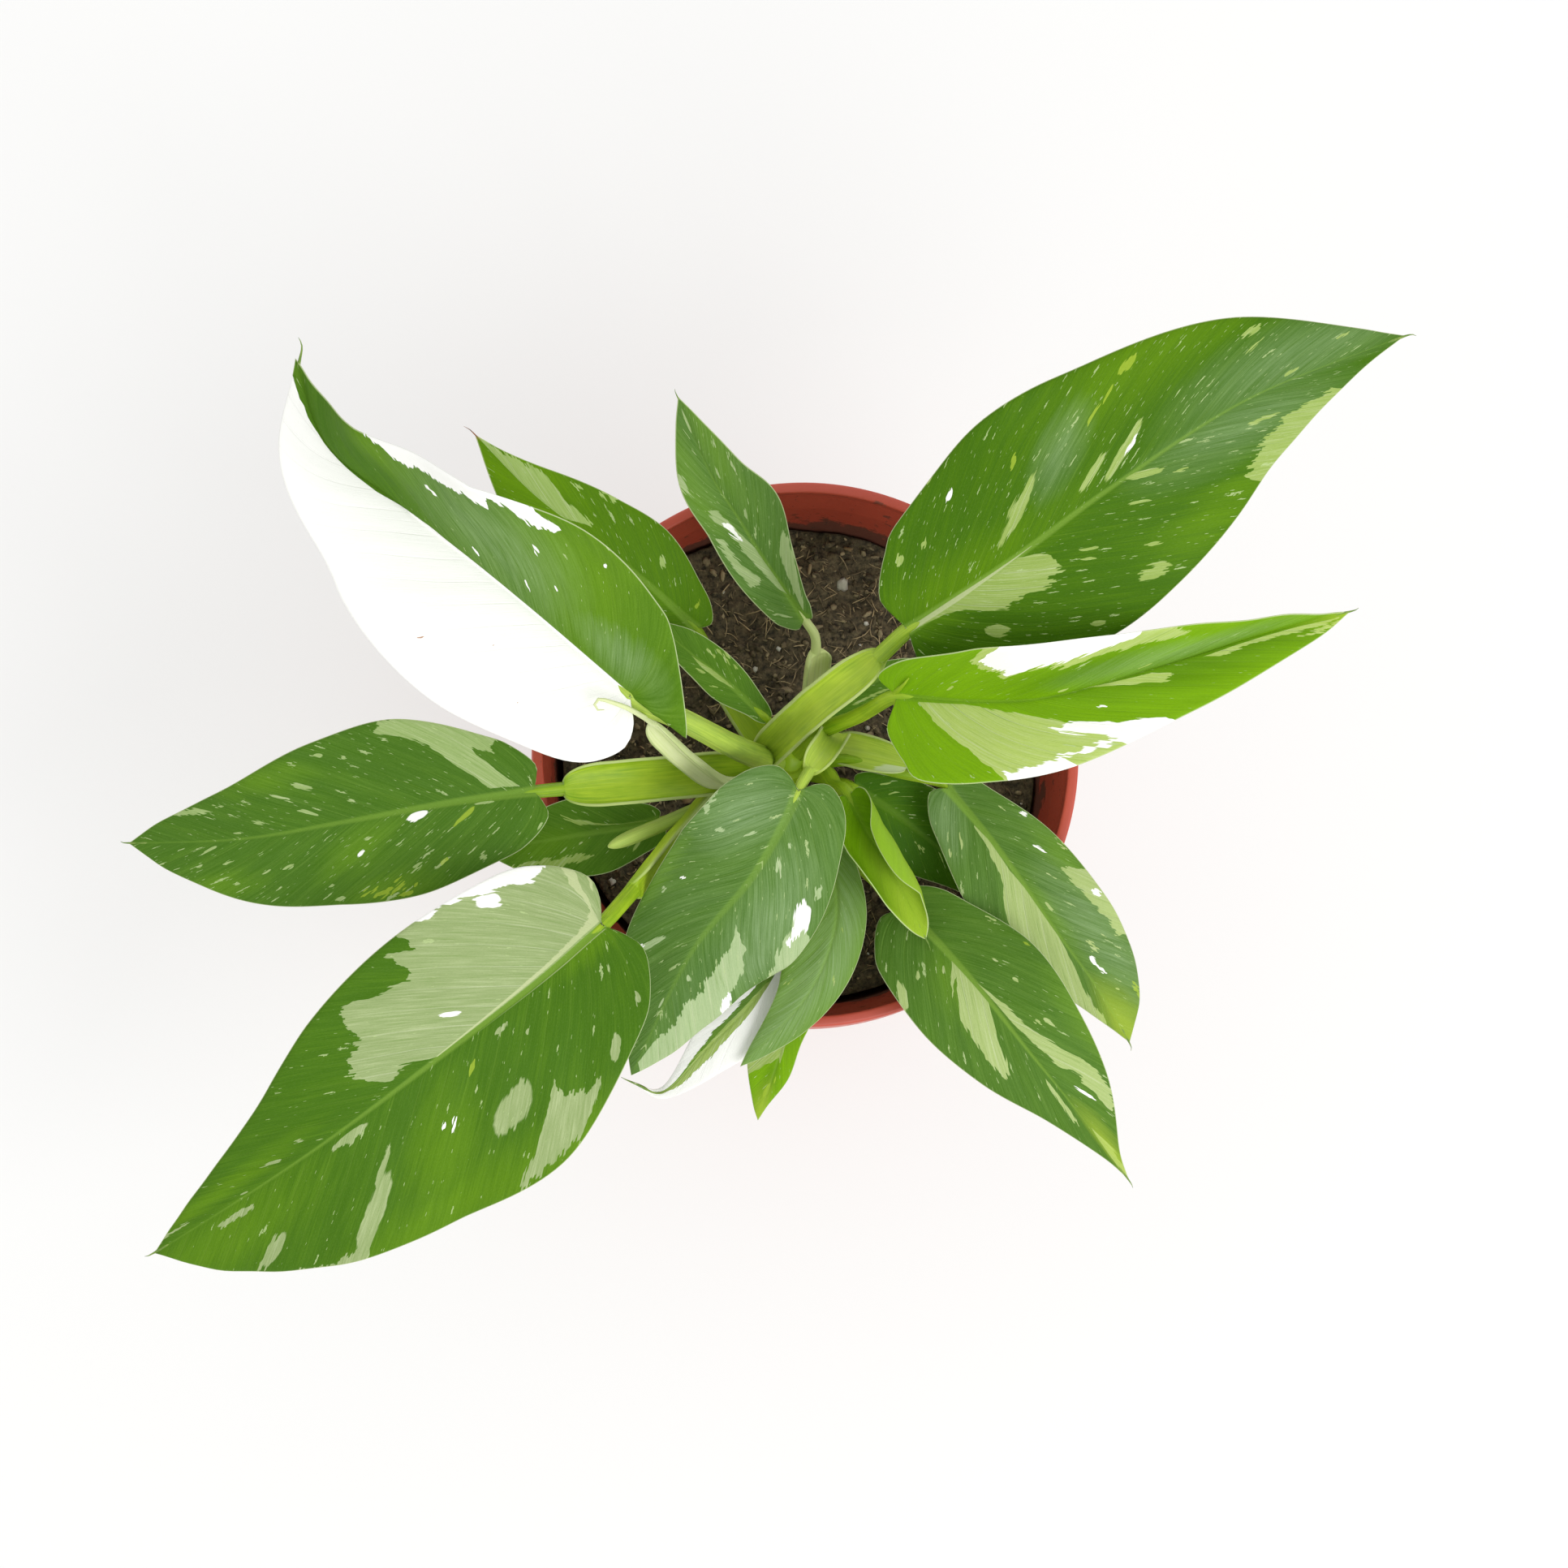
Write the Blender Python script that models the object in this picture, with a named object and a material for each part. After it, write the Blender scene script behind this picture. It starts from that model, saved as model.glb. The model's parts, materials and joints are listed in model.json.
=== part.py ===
"""Variegated philodendron in a round plastic nursery pot.

Lengths are in millimetres and angles in degrees; meshes are made in metres.
The origin is the middle of the pot's underside, +Z is up, and +X and +Y are the
right and the top of the plant as it is seen from above.
"""
import math
from collections import namedtuple

import bpy
import numpy as np

MM = 0.001
UP = np.array([0.0, 0.0, 1.0])

# Gap left between pieces that touch
GAP = 0.3

# Pot: a tapered wall with a flat lip round its mouth
POT_HEIGHT = 105
POT_RIM_RADIUS = 60
POT_BASE_RADIUS = 43
LIP_HEIGHT = 11
LIP_STEP = 3.2
LIP_WALL = 2.4
LIP_EDGE = 0.8
POT_WALL = 1.4
POT_FLOOR = 2
POT_SIDES = 48
DRAIN_HOLES = 6
DRAIN_RADIUS = 3.5
DRAIN_CIRCLE = 31

# Soil: its height at the pot's axis, its fall across the pot and its mound round the stem
SOIL_LEVEL = 85
SOIL_SLOPE = (-3.6, -3.0)
SOIL_MOUND = 2.5
SOIL_MOUND_RADIUS = 22
SOIL_EDGE_DROP = 6
SOIL_SIDES = 32
SOIL_RINGS = (1.0, 0.86, 0.66, 0.44, 0.22, 0.0)

# Stem: short and upright, standing in a plain hole in the soil
STEM_AXIS = (-4, -2)
STEM_RADIUS = 5.5
STEM_BOTTOM = 62
STEM_SIDES = 16
STEM_PROFILE = ((0, STEM_BOTTOM), (STEM_RADIUS, STEM_BOTTOM), (STEM_RADIUS, 92), (5, 96),
                (5.4, 98), (4.7, 103), (4.2, 108), (2.4, 111), (0, 112))

# Blades: thickness, the rib under the midrib and the rows of the mesh
BLADE_THICKNESS = 0.7
RIB_DEPTH = 0.9
BLADE_ROWS = 15
BLADE_COLUMNS = (0.1, 0.52, 1.0)
ROLLED_COLUMNS = (0.1, 0.3, 0.5, 0.75, 1.0)

# Where half-widths are given along the midrib, and where the side veins to them start
STATIONS = (0.1, 0.3, 0.5, 0.7, 0.9)
VEIN_STARTS = (0.02, 0.13, 0.31, 0.53, 0.80)

STALK_OUTER = 7
STALK_INNER = 5
STALK_TUCK = 1.5
# Share of a sheath's length over which it widens, and over which its end is rounded
SHEATH_RISE = 0.35
SHEATH_ROUNDING = 0.16
# Share of a bladeless sheath's path over which it closes to a point
POINT_SHARE = 0.12

GREEN = (0.045, 0.16, 0.018, 1)
YOUNG_GREEN = (0.16, 0.36, 0.015, 1)
LIME = (0.34, 0.52, 0.05, 1)
POT_RED = (0.42, 0.055, 0.035, 1)
SOIL_BROWN = (0.035, 0.022, 0.014, 1)

# A blade: its midrib from base to tip, the half-widths of its left and right side at
# STATIONS, how far each lobe reaches behind the base, how steeply each side rises
# beside the midrib and how much that changes out to the margin (one value each, or
# several from base to tip), the height and number of the waves in its margin, and how far
# out each lobe's end lies as a share of the first half-width.
Leaf = namedtuple("Leaf", "name spine left right lobe fold curl wave lobe_share columns colour",
                  defaults=((0.45, 0.45), BLADE_COLUMNS, GREEN))

# A leaf stalk: its path, its radius at both ends, and its sheath: where the sheath
# starts and ends as a share of the path, its half-width, the height of its rims and
# how far it is turned about the stalk.
Stalk = namedtuple("Stalk", "leaf path radius sheath rings", defaults=(None, 9))

LEAVES = (
    Leaf("blade_upper_right",
         ((16.5, 19, 166), (35.5, 31, 178), (56.5, 46, 186), (84, 64, 187), (119, 80, 176)),
         (20, 26.5, 23.5, 17, 6), (20.5, 25.5, 22.5, 13.5, 3.5), (1, 2), (12, (-8, -16)), (-8, -8),
         (0.8, 3)),
    Leaf("blade_right_bright",
         ((15, 6, 160), (30, 4, 168), (45.5, 4.5, 173), (69.5, 11.5, 173), (90, 18.5, 168),
          (110, 24.5, 160)),
         (13, 18, 13, 7, 2), (18, 16, 12.5, 9, 4), (3, 1), (54, 4), (8, 8), (0.5, 2),
         colour=YOUNG_GREEN),
    Leaf("blade_upper_left",
         ((-41, 5, 165), (-64, 24, 170), (-87, 42, 172), (-103, 55, 171), (-110, 74, 166)),
         (22.5, 27.5, 25.5, 16.5, 5), (21.5, 29, 25, 15, 4), (6, 14), (5, (30, 48, 66, 62, 40)),
         (-6, 10), (0.8, 2.5), (0.45, 0.1)),
    Leaf("blade_top",
         ((-1.5, 28, 118), (-10, 38, 126.5), (-16.5, 47, 132.5), (-23, 56, 138), (-30, 72, 140)),
         (6.5, 8, 8, 7.5, 3), (3.5, 7, 10, 7, 2.5), (1, 1), (8, 20), (4, 4), (0.3, 2)),
    Leaf("blade_behind_left",
         ((-25, 26, 115), (-36, 35, 121), (-48, 44, 125), (-61, 53.5, 127), (-73, 65.5, 128)),
         (9, 13, 12, 8.5, 3), (8, 11.5, 10, 7, 2), (1, 2), (6, 10), (-6, -6), (0.4, 2)),
    Leaf("blade_left",
         ((-60, -12, 135), (-78.5, -15, 138), (-101, -19, 135.5), (-122, -22, 129.5),
          (-146, -22, 118)),
         (13.5, 18, 17.5, 14, 6), (13, 19.5, 17.5, 12, 5), (2, 1), ((8, -14, -14), 8), (-6, -6),
         (0.6, 2.5)),
    Leaf("blade_lower_left",
         ((-46, -41, 144), (-63, -56, 151), (-95.5, -81, 149), (-116, -95, 140.5),
          (-139, -109, 124)),
         (23, 33, 30, 24, 11.5), (22.5, 25.5, 22, 12.5, 4.5), (3, 4.5), ((8, -10, -10), (10, 6)),
         (-6, -8), (0.9, 3)),
    Leaf("blade_front",
         ((-5, -13, 148), (-8.5, -20.5, 149), (-15, -31.5, 145.5), (-27, -46.5, 135),
          (-38.5, -71, 114)),
         (14, 18.5, 20, 15, 6.5), (15.5, 18, 16, 12.5, 4.5), (4, 3), ((0, -22, -22), (4, -10, -10)),
         (-14, -10), (0.6, 2)),
    Leaf("blade_front_green",
         ((4, -21, 119), (5, -38, 124), (-1, -54, 121), (-15, -69, 113)),
         (5, 6.5, 6.5, 5, 2.5), (6, 9, 9, 5.5, 2), (1.5, 1.5), ((4, -18), (4, -10)), (-8, -8),
         (0.3, 2)),
    Leaf("blade_front_white",
         ((-2, -34, 110), (-10, -52, 113), (-22, -65, 110), (-31, -74, 102), (-38, -72, 105)),
         (7, 9.5, 8, 5, 1), (5, 7, 6, 3, 0.7), (1.5, 1.5), (-6, -8), (-6, -6), (0.3, 2)),
    Leaf("blade_front_low",
         ((-1, -42, 104), (-3, -54, 108), (-6, -66, 107), (-10, -80, 95)),
         (4, 5.5, 4, 3.5, 1), (6, 7, 8, 6, 2.5), (1.5, 1.5), (-6, -6), (-8, -8), (0.3, 2),
         colour=YOUNG_GREEN),
    Leaf("blade_lower_right",
         ((21, -35, 115), (34.5, -51, 122.5), (45.5, -65, 123), (56.5, -77.5, 118),
          (70, -93, 107)),
         (10.5, 15, 14, 10, 2.5), (14, 15.5, 12.5, 6.5, 1.5), (2.5, 2), (12, (8, -12, -12)),
         (-6, -6), (0.5, 2.5)),
    Leaf("blade_right",
         ((30, -8.5, 114), (41, -22.5, 117), (53.5, -40, 116), (63, -52, 111.5), (71, -63, 103)),
         (7.5, 12, 13.5, 12.5, 7), (9, 12.5, 11.5, 7.5, 2.5), (1.5, 1.5), ((6, -8), (6, -10)),
         (-8, -6), (0.5, 2)),
    Leaf("blade_right_low",
         ((10.5, -8, 108), (20, -14, 107), (33, -24, 103), (42, -33, 98)),
         (6, 9.5, 10, 7, 3), (6, 9, 8.5, 5.5, 2), (1.5, 1.5), (0, -4), (-6, -6), (0.3, 2)),
    Leaf("blade_centre_left",
         ((-10.5, 5.5, 124.5), (-18.5, 12.5, 126), (-27.5, 20, 124.5), (-36, 28, 121)),
         (2.5, 4.5, 4, 3, 1), (3, 4.5, 5, 4, 1), (1, 1), (4, 10), (-4, -4), (0.2, 2)),
    Leaf("blade_left_low",
         ((-33, -16, 112), (-44, -18, 112), (-57, -20, 109), (-70, -22, 104)),
         (6.5, 9, 9, 8, 3.5), (5, 8, 8, 6, 2.5), (1.5, 1), ((6, -4), 6), (-6, -6), (0.3, 2)),
    Leaf("blade_centre_right",
         ((2, 7, 108), (8, 11, 112), (15, 15, 114), (23, 20, 113)),
         (4, 5.5, 5, 3.5, 1.5), (4, 5.5, 5.5, 3.5, 1.5), (1, 1), (8, 4), (-4, -4), (0.2, 2)),
    Leaf("blade_rolled",
         ((7.5, -11.5, 125), (11, -19, 127), (15, -25.5, 128), (19, -32, 126), (24.5, -42, 121)),
         (7, 12, 12, 7, 2.5), (5, 10, 11, 6.5, 2.5), (0.5, 0.5), (15, 15),
         ((150, 150, 170, 320), (70, 70, 90, 130)), (0.0, 1),
         columns=ROLLED_COLUMNS, colour=YOUNG_GREEN),
)

STALKS = (
    Stalk("blade_upper_right", ((-5, -2, 98), (-9.5, -2, 114), (-0.5, 6, 139), (10, 13.5, 155)),
          (2.4, 1.7), (0.14, 0.84, 4.1, 3.2, 0), 13),
    Stalk("blade_right_bright", ((-4, -2, 100), (-1, 0, 115), (1, 2, 127), (8.5, 4, 143)),
          (2.0, 1.6)),
    Stalk("blade_upper_left", ((-4, -2, 98), (-12, -3, 124), (-20, -2, 142), (-30, 1, 157)),
          (3.0, 2.2)),
    Stalk("blade_front", ((-3, -2, 100), (2.5, 0, 112), (4.5, 2, 122), (1, -3.5, 138),
                          (-2.5, -8.5, 144.5)),
          (1.8, 1.2), (0.3, 0.86, 3.2, 2.4, 0), 11),
    Stalk("blade_left", ((-5, -3, 96), (-16, -5, 110), (-30, -8, 124), (-46, -10.3, 131)),
          (2.3, 1.4), (0.16, 0.88, 4.8, 3.0, 0), 13),
    Stalk("blade_lower_left", ((-5, -4, 98), (-19, -9, 110), (-29, -20, 122), (-37.5, -31, 132)),
          (2.3, 1.7), (0.15, 0.78, 3.2, 2.6, 40), 11),
    Stalk("blade_top", ((-4, -1, 95), (0.5, 8, 98), (1.5, 18, 104), (1.5, 24, 112)),
          (1.6, 0.95), (0.3, 0.68, 3.3, 2.0, 0), 11),
    Stalk("blade_behind_left", ((-5, -1, 94), (-12, 7, 100), (-19, 17, 107)), (1.8, 1.1),
          (0.12, 0.62, 4.0, 2.0, 0), 11),
    Stalk("blade_centre_left", ((-5, -1, 98), (-7, 3, 111)), (1.3, 0.9), None, 6),
    Stalk("blade_left_low", ((-5, -3, 95), (-15, -8, 100), (-25, -13, 107)), (1.4, 1.0), None, 7),
    Stalk("blade_right", ((-3, -3, 98), (8, -2, 109), (19, -5, 113)), (1.6, 1.0), None, 7),
    Stalk("blade_right_low", ((-3, -3, 94), (3, -5, 100)), (1.3, 0.9), None, 6),
    Stalk("blade_lower_right", ((-3, -4, 96), (4, -14, 102), (12, -26, 109)), (1.5, 1.0), None, 7),
    Stalk("blade_front_green", ((-3, -4, 97), (0, -12, 106)), (1.5, 1.0), None, 6),
    Stalk("blade_front_white", ((-4, -4, 95), (-4, -18, 98)), (1.3, 0.9), None, 6),
    Stalk("blade_front_low", ((-3, -4, 94), (1, -22, 95)), (1.3, 0.9), None, 6),
    Stalk("blade_rolled", ((-3, -3, 98), (3, -5, 112), (5, -9, 119)), (2.3, 1.9), None, 8),
    Stalk("blade_centre_right", ((-3, -1, 95), (0, 3, 100)), (1.1, 0.8), None, 6),
)

# Sheaths that carry no blade: they end in a free point
BARE_SHEATHS = (
    Stalk(None, ((-5, -3, 96), (-16, -9, 109), (-29, -16, 120), (-44, -23, 128)), (1.5, 1.6)),
    Stalk(None, ((-2, -2, 96), (5, 1, 104), (13, -1, 112), (22, -4, 117)), (1.4, 0.5),
          (0.3, 1.0, 4.0, 1.6, 0)),
    Stalk(None, ((-6, -4, 102), (-18, -8, 119), (-27, -5, 137), (-35.5, 0, 155), (-39, 1, 164.5),
                 (-42, 2, 168.5), (-45.5, 3, 170)),
          (1.4, 0.4), (0.15, 0.72, 2.8, 2.0, 0), 13),
)


def unit(vector):
    return vector / np.linalg.norm(vector)


def smooth_through(points, steps):
    """Points of a Catmull-Rom curve through the given ones, with steps in each stretch."""
    points = np.array(points, float)
    ends = np.vstack([2 * points[0] - points[1], points, 2 * points[-1] - points[-2]])
    curve = []
    for before, start, end, after in zip(ends, ends[1:], ends[2:], ends[3:]):
        for t in np.arange(steps) / steps:
            curve.append(0.5 * (2 * start + (end - before) * t
                                + (2 * before - 5 * start + 4 * end - after) * t ** 2
                                + (3 * start - before - 3 * end + after) * t ** 3))
    curve.append(points[-1])
    return np.array(curve)


class Path:
    """A smooth curve that is read by the distance along it, and runs on straight past its ends."""

    def __init__(self, points):
        self.points = smooth_through(points, 16)
        steps = np.linalg.norm(np.diff(self.points, axis=0), axis=1)
        self.distances = np.concatenate([[0.0], np.cumsum(steps)])
        self.length = self.distances[-1]

    def at(self, distance):
        inside = min(max(distance, 0.0), self.length)
        point = [np.interp(inside, self.distances, axis) for axis in self.points.T]
        return np.array(point) + self.direction(inside) * (distance - inside)

    def direction(self, distance):
        reach = 0.02 * self.length
        low = min(max(distance - reach, 0.0), self.length - reach)
        high = max(min(distance + reach, self.length), reach)
        ends = [[np.interp(d, self.distances, axis) for axis in self.points.T] for d in (low, high)]
        return unit(np.array(ends[1]) - np.array(ends[0]))


def margin(leaf, side, length, rows):
    """One margin from the base, round the lobe, to the tip: vein start, along and across."""
    widths = leaf.left if side > 0 else leaf.right
    lobe = leaf.lobe[0 if side > 0 else 1]
    share = leaf.lobe_share[0 if side > 0 else 1]
    first = widths[0]
    shoulder = 0.05 * length - 2.2 * share * lobe
    points = [(0, 0, 0), (0, -0.8 * lobe, 0.45 * share * first), (0, -lobe, share * first),
              (0, shoulder, 0.78 * first)]
    for start, station, width in zip(VEIN_STARTS, STATIONS, widths):
        points.append((start * length, station * length, width))
    points.append((length, length, 0))
    curve = smooth_through(points, 12)
    curve[:, 0] = curve[:, 0].clip(0, length)
    return curve[np.linspace(0, len(curve) - 1, rows).round().astype(int)]


def along_blade(values, share):
    """One of the values that are spread evenly from base to tip, at a share of the midrib."""
    values = np.atleast_1d(values)
    return np.interp(share, np.linspace(0, 1, len(values)), values)


def section(leaf, side, share, across):
    """Sideways and upward distance of a point of the blade that lies so far from its midrib."""
    fold = leaf.fold[0 if side > 0 else 1]
    curl = leaf.curl[0 if side > 0 else 1]
    widest = max(leaf.left if side > 0 else leaf.right)
    angle = math.radians(along_blade(fold, share))
    bend = math.radians(along_blade(curl, share)) / widest
    outer = angle + bend * across
    return (math.sin(outer) - math.sin(angle)) / bend, (math.cos(angle) - math.cos(outer)) / bend


def blade_point(leaf, spine, side, along, across):
    """A point of the blade's middle surface, from its place in the flattened blade."""
    centre = spine.at(along)
    tangent = spine.direction(along)
    left = unit(np.cross(UP, tangent))
    normal = np.cross(tangent, left)
    share = along / spine.length
    sideways, upward = section(leaf, side, share, across)
    height, waves = leaf.wave
    widest = max(leaf.left if side > 0 else leaf.right)
    upward += height * math.sin(2 * math.pi * waves * share + side) * (across / widest) ** 2
    return centre + left * side * sideways + normal * upward


def blade_mesh(leaf):
    """A closed thin shell; both faces are split into the same triangles."""
    spine = Path(leaf.spine)
    points = []
    ribs = []
    index = {}

    def vertex(key, point, rib):
        if key not in index:
            index[key] = len(points)
            points.append(point)
            ribs.append(rib)
        return index[key]

    triangles = []
    borders = []
    for side in (1, -1):
        rows = []
        for row, (start, along, across) in enumerate(margin(leaf, side, spine.length, BLADE_ROWS)):
            rib = RIB_DEPTH * (1 - start / spine.length) ** 0.6
            line = [vertex(("midrib", round(start, 3)), spine.at(start), rib)]
            ends = row in (0, BLADE_ROWS - 1)
            for column, share in enumerate(leaf.columns):
                if ends:
                    line.append(line[0])
                    continue
                place = start + (along - start) * share
                point = blade_point(leaf, spine, side, place, across * share)
                line.append(vertex((side, row, column), point, 0.0))
            rows.append(line)
        for near, far in zip(rows, rows[1:]):
            for a, b, c, d in zip(near, near[1:], far[1:], far):
                for corner in ((a, b, c), (a, c, d)):
                    if len(set(corner)) == 3:
                        triangles.append(corner if side < 0 else corner[::-1])
        borders.append([line[-1] for line in rows])
    points = np.array(points)
    normals = vertex_normals(points, triangles)
    half = BLADE_THICKNESS / 2
    top = points + normals * half
    bottom = points - normals * (half + np.array(ribs)[:, None])
    count = len(points)
    faces = list(triangles)
    faces += [(c + count, b + count, a + count) for a, b, c in triangles]
    loop = borders[1] + borders[0][-2:0:-1]
    for a, b in zip(loop, loop[1:] + loop[:1]):
        faces += [(b, a, a + count), (b, a + count, b + count)]
    return np.vstack([top, bottom]), faces


def vertex_normals(points, triangles):
    normals = np.zeros_like(points)
    for a, b, c in triangles:
        across = np.cross(points[b] - points[a], points[c] - points[a])
        for corner in (a, b, c):
            normals[corner] += across
    return normals / np.linalg.norm(normals, axis=1)[:, None]


def stalk_path(stalk):
    """The stalk's path, tucked under the base of its blade with a gap."""
    if stalk.leaf is None:
        return Path(stalk.path)
    leaf = next(leaf for leaf in LEAVES if leaf.name == stalk.leaf)
    spine = Path(leaf.spine)
    tangent = spine.direction(0)
    normal = np.cross(tangent, unit(np.cross(UP, tangent)))
    below = BLADE_THICKNESS / 2 + RIB_DEPTH + GAP + stalk.radius[1]
    end = spine.at(STALK_TUCK) - normal * below
    return Path(stalk.path + (tuple(end),))


def stalk_section(radius, opening, half_width, rim):
    """Outline of a stalk: round where opening is 0, a trough with thin rims where it is 1."""
    width = radius + (half_width - radius) * opening
    floor = radius * (1 - 0.4 * opening)
    top = rim * opening
    wall = radius * 0.15 + 0.45 * opening
    outline = []
    for angle in np.linspace(-90, 90, STALK_OUTER):
        turn = math.radians(angle)
        outline.append((width * math.sin(turn), -radius + (top + radius) * (1 - math.cos(turn))))
    for angle in np.linspace(90, -90, STALK_INNER):
        turn = math.radians(angle)
        across = (width - wall) * math.sin(turn)
        outline.append((across, floor + (top + 0.05 - floor) * (1 - math.cos(turn))))
    return outline


def sheath_opening(share, sheath):
    if sheath is None:
        return 0.0
    start, end = sheath[0], sheath[1]
    inside = (share - start) / (end - start)
    if not 0 < inside < 1:
        return 0.0
    widened = math.sin(math.pi / 2 * min(1.0, inside / SHEATH_RISE)) ** 0.8
    return widened * rounded_end(inside, SHEATH_ROUNDING)


def rounded_end(share, rounding):
    """Width of a shape with a half-round end at share 1, as a share of its full width."""
    return math.sqrt(1 - max(0.0, (share - 1 + rounding) / rounding) ** 2)


def ring_shares(stalk):
    """Where the rings lie along the path, closer together at a sheath's rounded end."""
    shares = np.linspace(0, 1, stalk.rings)
    if stalk.sheath is None:
        return shares
    start, end = stalk.sheath[:2]
    rounding = (end - start) * SHEATH_ROUNDING
    apart = np.abs(shares - end + rounding / 2) > rounding * 0.6
    close = [end - rounding * back for back in (1.0, 0.5, 0.15, 0.0)]
    return np.unique(np.round(np.concatenate([[0.0], shares[apart], close]), 6))


def stalk_mesh(stalk):
    """A stalk swept along its path, with its sheath as a trough that opens upward."""
    path = stalk_path(stalk)
    rings = []
    side = np.cross(UP, path.direction(path.length))
    for share in ring_shares(stalk)[::-1]:
        distance = share * path.length
        tangent = path.direction(distance)
        side = unit(side - tangent * side.dot(tangent))
        upward = np.cross(tangent, side)
        radius = stalk.radius[0] + (stalk.radius[1] - stalk.radius[0]) * share
        if stalk.leaf is None:
            radius *= max(0.2, rounded_end(share, POINT_SHARE))
        turn = math.radians(stalk.sheath[4]) if stalk.sheath else 0.0
        right = -side * math.cos(turn) + upward * math.sin(turn)
        raised = upward * math.cos(turn) + side * math.sin(turn)
        half_width, rim = stalk.sheath[2:4] if stalk.sheath else (radius, 0.0)
        opening = sheath_opening(share, stalk.sheath)
        outline = stalk_section(radius, opening, half_width, rim)
        rings.append([path.at(distance) + right * x + raised * y for x, y in outline])
    return skin(rings[::-1])


def skin(rings):
    """Closed mesh over rings of equal size, with flat ends."""
    count = len(rings[0])
    vertices = [point for ring in rings for point in ring]
    faces = []
    for ring in range(len(rings) - 1):
        for i in range(count):
            j = (i + 1) % count
            low, high = ring * count, (ring + 1) * count
            faces.append((low + i, low + j, high + j, high + i))
    last = (len(rings) - 1) * count
    faces.append(tuple(range(count))[::-1])
    faces.append(tuple(range(last, last + count)))
    return np.array(vertices), faces


def turned(profile, sides, axis=(0, 0)):
    """Closed mesh of a profile of (radius, height) turned once round an upright axis."""
    vertices = []
    rings = []
    for radius, height in profile:
        if radius == 0:
            rings.append([len(vertices)] * sides)
            vertices.append((axis[0], axis[1], height))
            continue
        rings.append(list(range(len(vertices), len(vertices) + sides)))
        for k in range(sides):
            turn = 2 * math.pi * k / sides
            vertices.append((axis[0] + radius * math.cos(turn), axis[1] + radius * math.sin(turn),
                             height))
    faces = []
    for low, high in zip(rings, rings[1:]):
        for i in range(sides):
            j = (i + 1) % sides
            corners = list(dict.fromkeys((low[i], low[j], high[j], high[i])))
            if len(corners) > 2:
                faces.append(tuple(corners))
    return np.array(vertices, float), faces


def pot_profile():
    """From the middle of the underside, up the outside, over the lip and down the inside."""
    lip_bottom = POT_HEIGHT - LIP_HEIGHT
    shoulder = POT_RIM_RADIUS - LIP_STEP
    return [(0, 0), (POT_BASE_RADIUS - 1, 0), (POT_BASE_RADIUS, 1), (shoulder, lip_bottom),
            (POT_RIM_RADIUS - LIP_EDGE, lip_bottom), (POT_RIM_RADIUS, lip_bottom + LIP_EDGE),
            (POT_RIM_RADIUS, POT_HEIGHT - LIP_EDGE), (POT_RIM_RADIUS - LIP_EDGE, POT_HEIGHT),
            (POT_RIM_RADIUS - LIP_WALL + LIP_EDGE, POT_HEIGHT),
            (POT_RIM_RADIUS - LIP_WALL, POT_HEIGHT - LIP_EDGE),
            (inner_radius(lip_bottom + 2), lip_bottom + 2),
            (inner_radius(POT_FLOOR), POT_FLOOR), (0, POT_FLOOR)]


def inner_radius(height):
    """Radius of the pot's inner wall at a height below the lip."""
    shoulder = POT_RIM_RADIUS - LIP_STEP
    slope = (shoulder - POT_BASE_RADIUS) / (POT_HEIGHT - LIP_HEIGHT)
    return POT_BASE_RADIUS - POT_WALL + slope * height


def soil_height(x, y):
    """Height of the soil's surface, with its slope, its mound round the stem and low lumps."""
    level = SOIL_LEVEL + SOIL_SLOPE[0] * x / POT_RIM_RADIUS + SOIL_SLOPE[1] * y / POT_RIM_RADIUS
    away = math.hypot(x - STEM_AXIS[0], y - STEM_AXIS[1]) / SOIL_MOUND_RADIUS
    lumps = 0.9 * math.sin(0.21 * x + 1.3) * math.cos(0.17 * y - 0.4)
    lumps += 0.5 * math.sin(0.33 * x - 0.29 * y)
    return level + SOIL_MOUND * math.exp(-away ** 2) + lumps


def soil_mesh():
    """The soil's body with its uneven top and the blind hole that the stem stands in."""
    hole = STEM_RADIUS + GAP
    bottom = POT_FLOOR + GAP
    rings = []
    turns = [2 * math.pi * k / SOIL_SIDES for k in range(SOIL_SIDES)]
    base = inner_radius(bottom) - GAP
    rings.append([(0.0, 0.0, bottom)] * SOIL_SIDES)
    rings.append([(base * math.cos(t), base * math.sin(t), bottom) for t in turns])
    for share in SOIL_RINGS:
        ring = []
        for turn in turns:
            edge = inner_radius(SOIL_LEVEL - SOIL_EDGE_DROP) - GAP
            outer = np.array((edge * math.cos(turn), edge * math.sin(turn)))
            inner = np.array(STEM_AXIS) + hole * np.array((math.cos(turn), math.sin(turn)))
            x, y = inner + (outer - inner) * share
            ring.append((x, y, soil_height(x, y)))
        rings.append(ring)
    floor = STEM_BOTTOM - GAP
    rings.append([(x, y, floor) for x, y, _ in rings[-1]])
    rings.append([(STEM_AXIS[0], STEM_AXIS[1], floor)] * SOIL_SIDES)
    return merged_rings(rings)


def merged_rings(rings):
    """Closed mesh over rings whose first and last shrink to a point."""
    count = len(rings[0])
    vertices = [rings[0][0]]
    index = [[0] * count]
    for ring in rings[1:-1]:
        index.append(list(range(len(vertices), len(vertices) + count)))
        vertices += ring
    index.append([len(vertices)] * count)
    vertices.append(rings[-1][0])
    faces = []
    for low, high in zip(index, index[1:]):
        for i in range(count):
            j = (i + 1) % count
            corners = list(dict.fromkeys((low[i], low[j], high[j], high[i])))
            faces.append(tuple(corners))
    return np.array(vertices, float), faces


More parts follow.
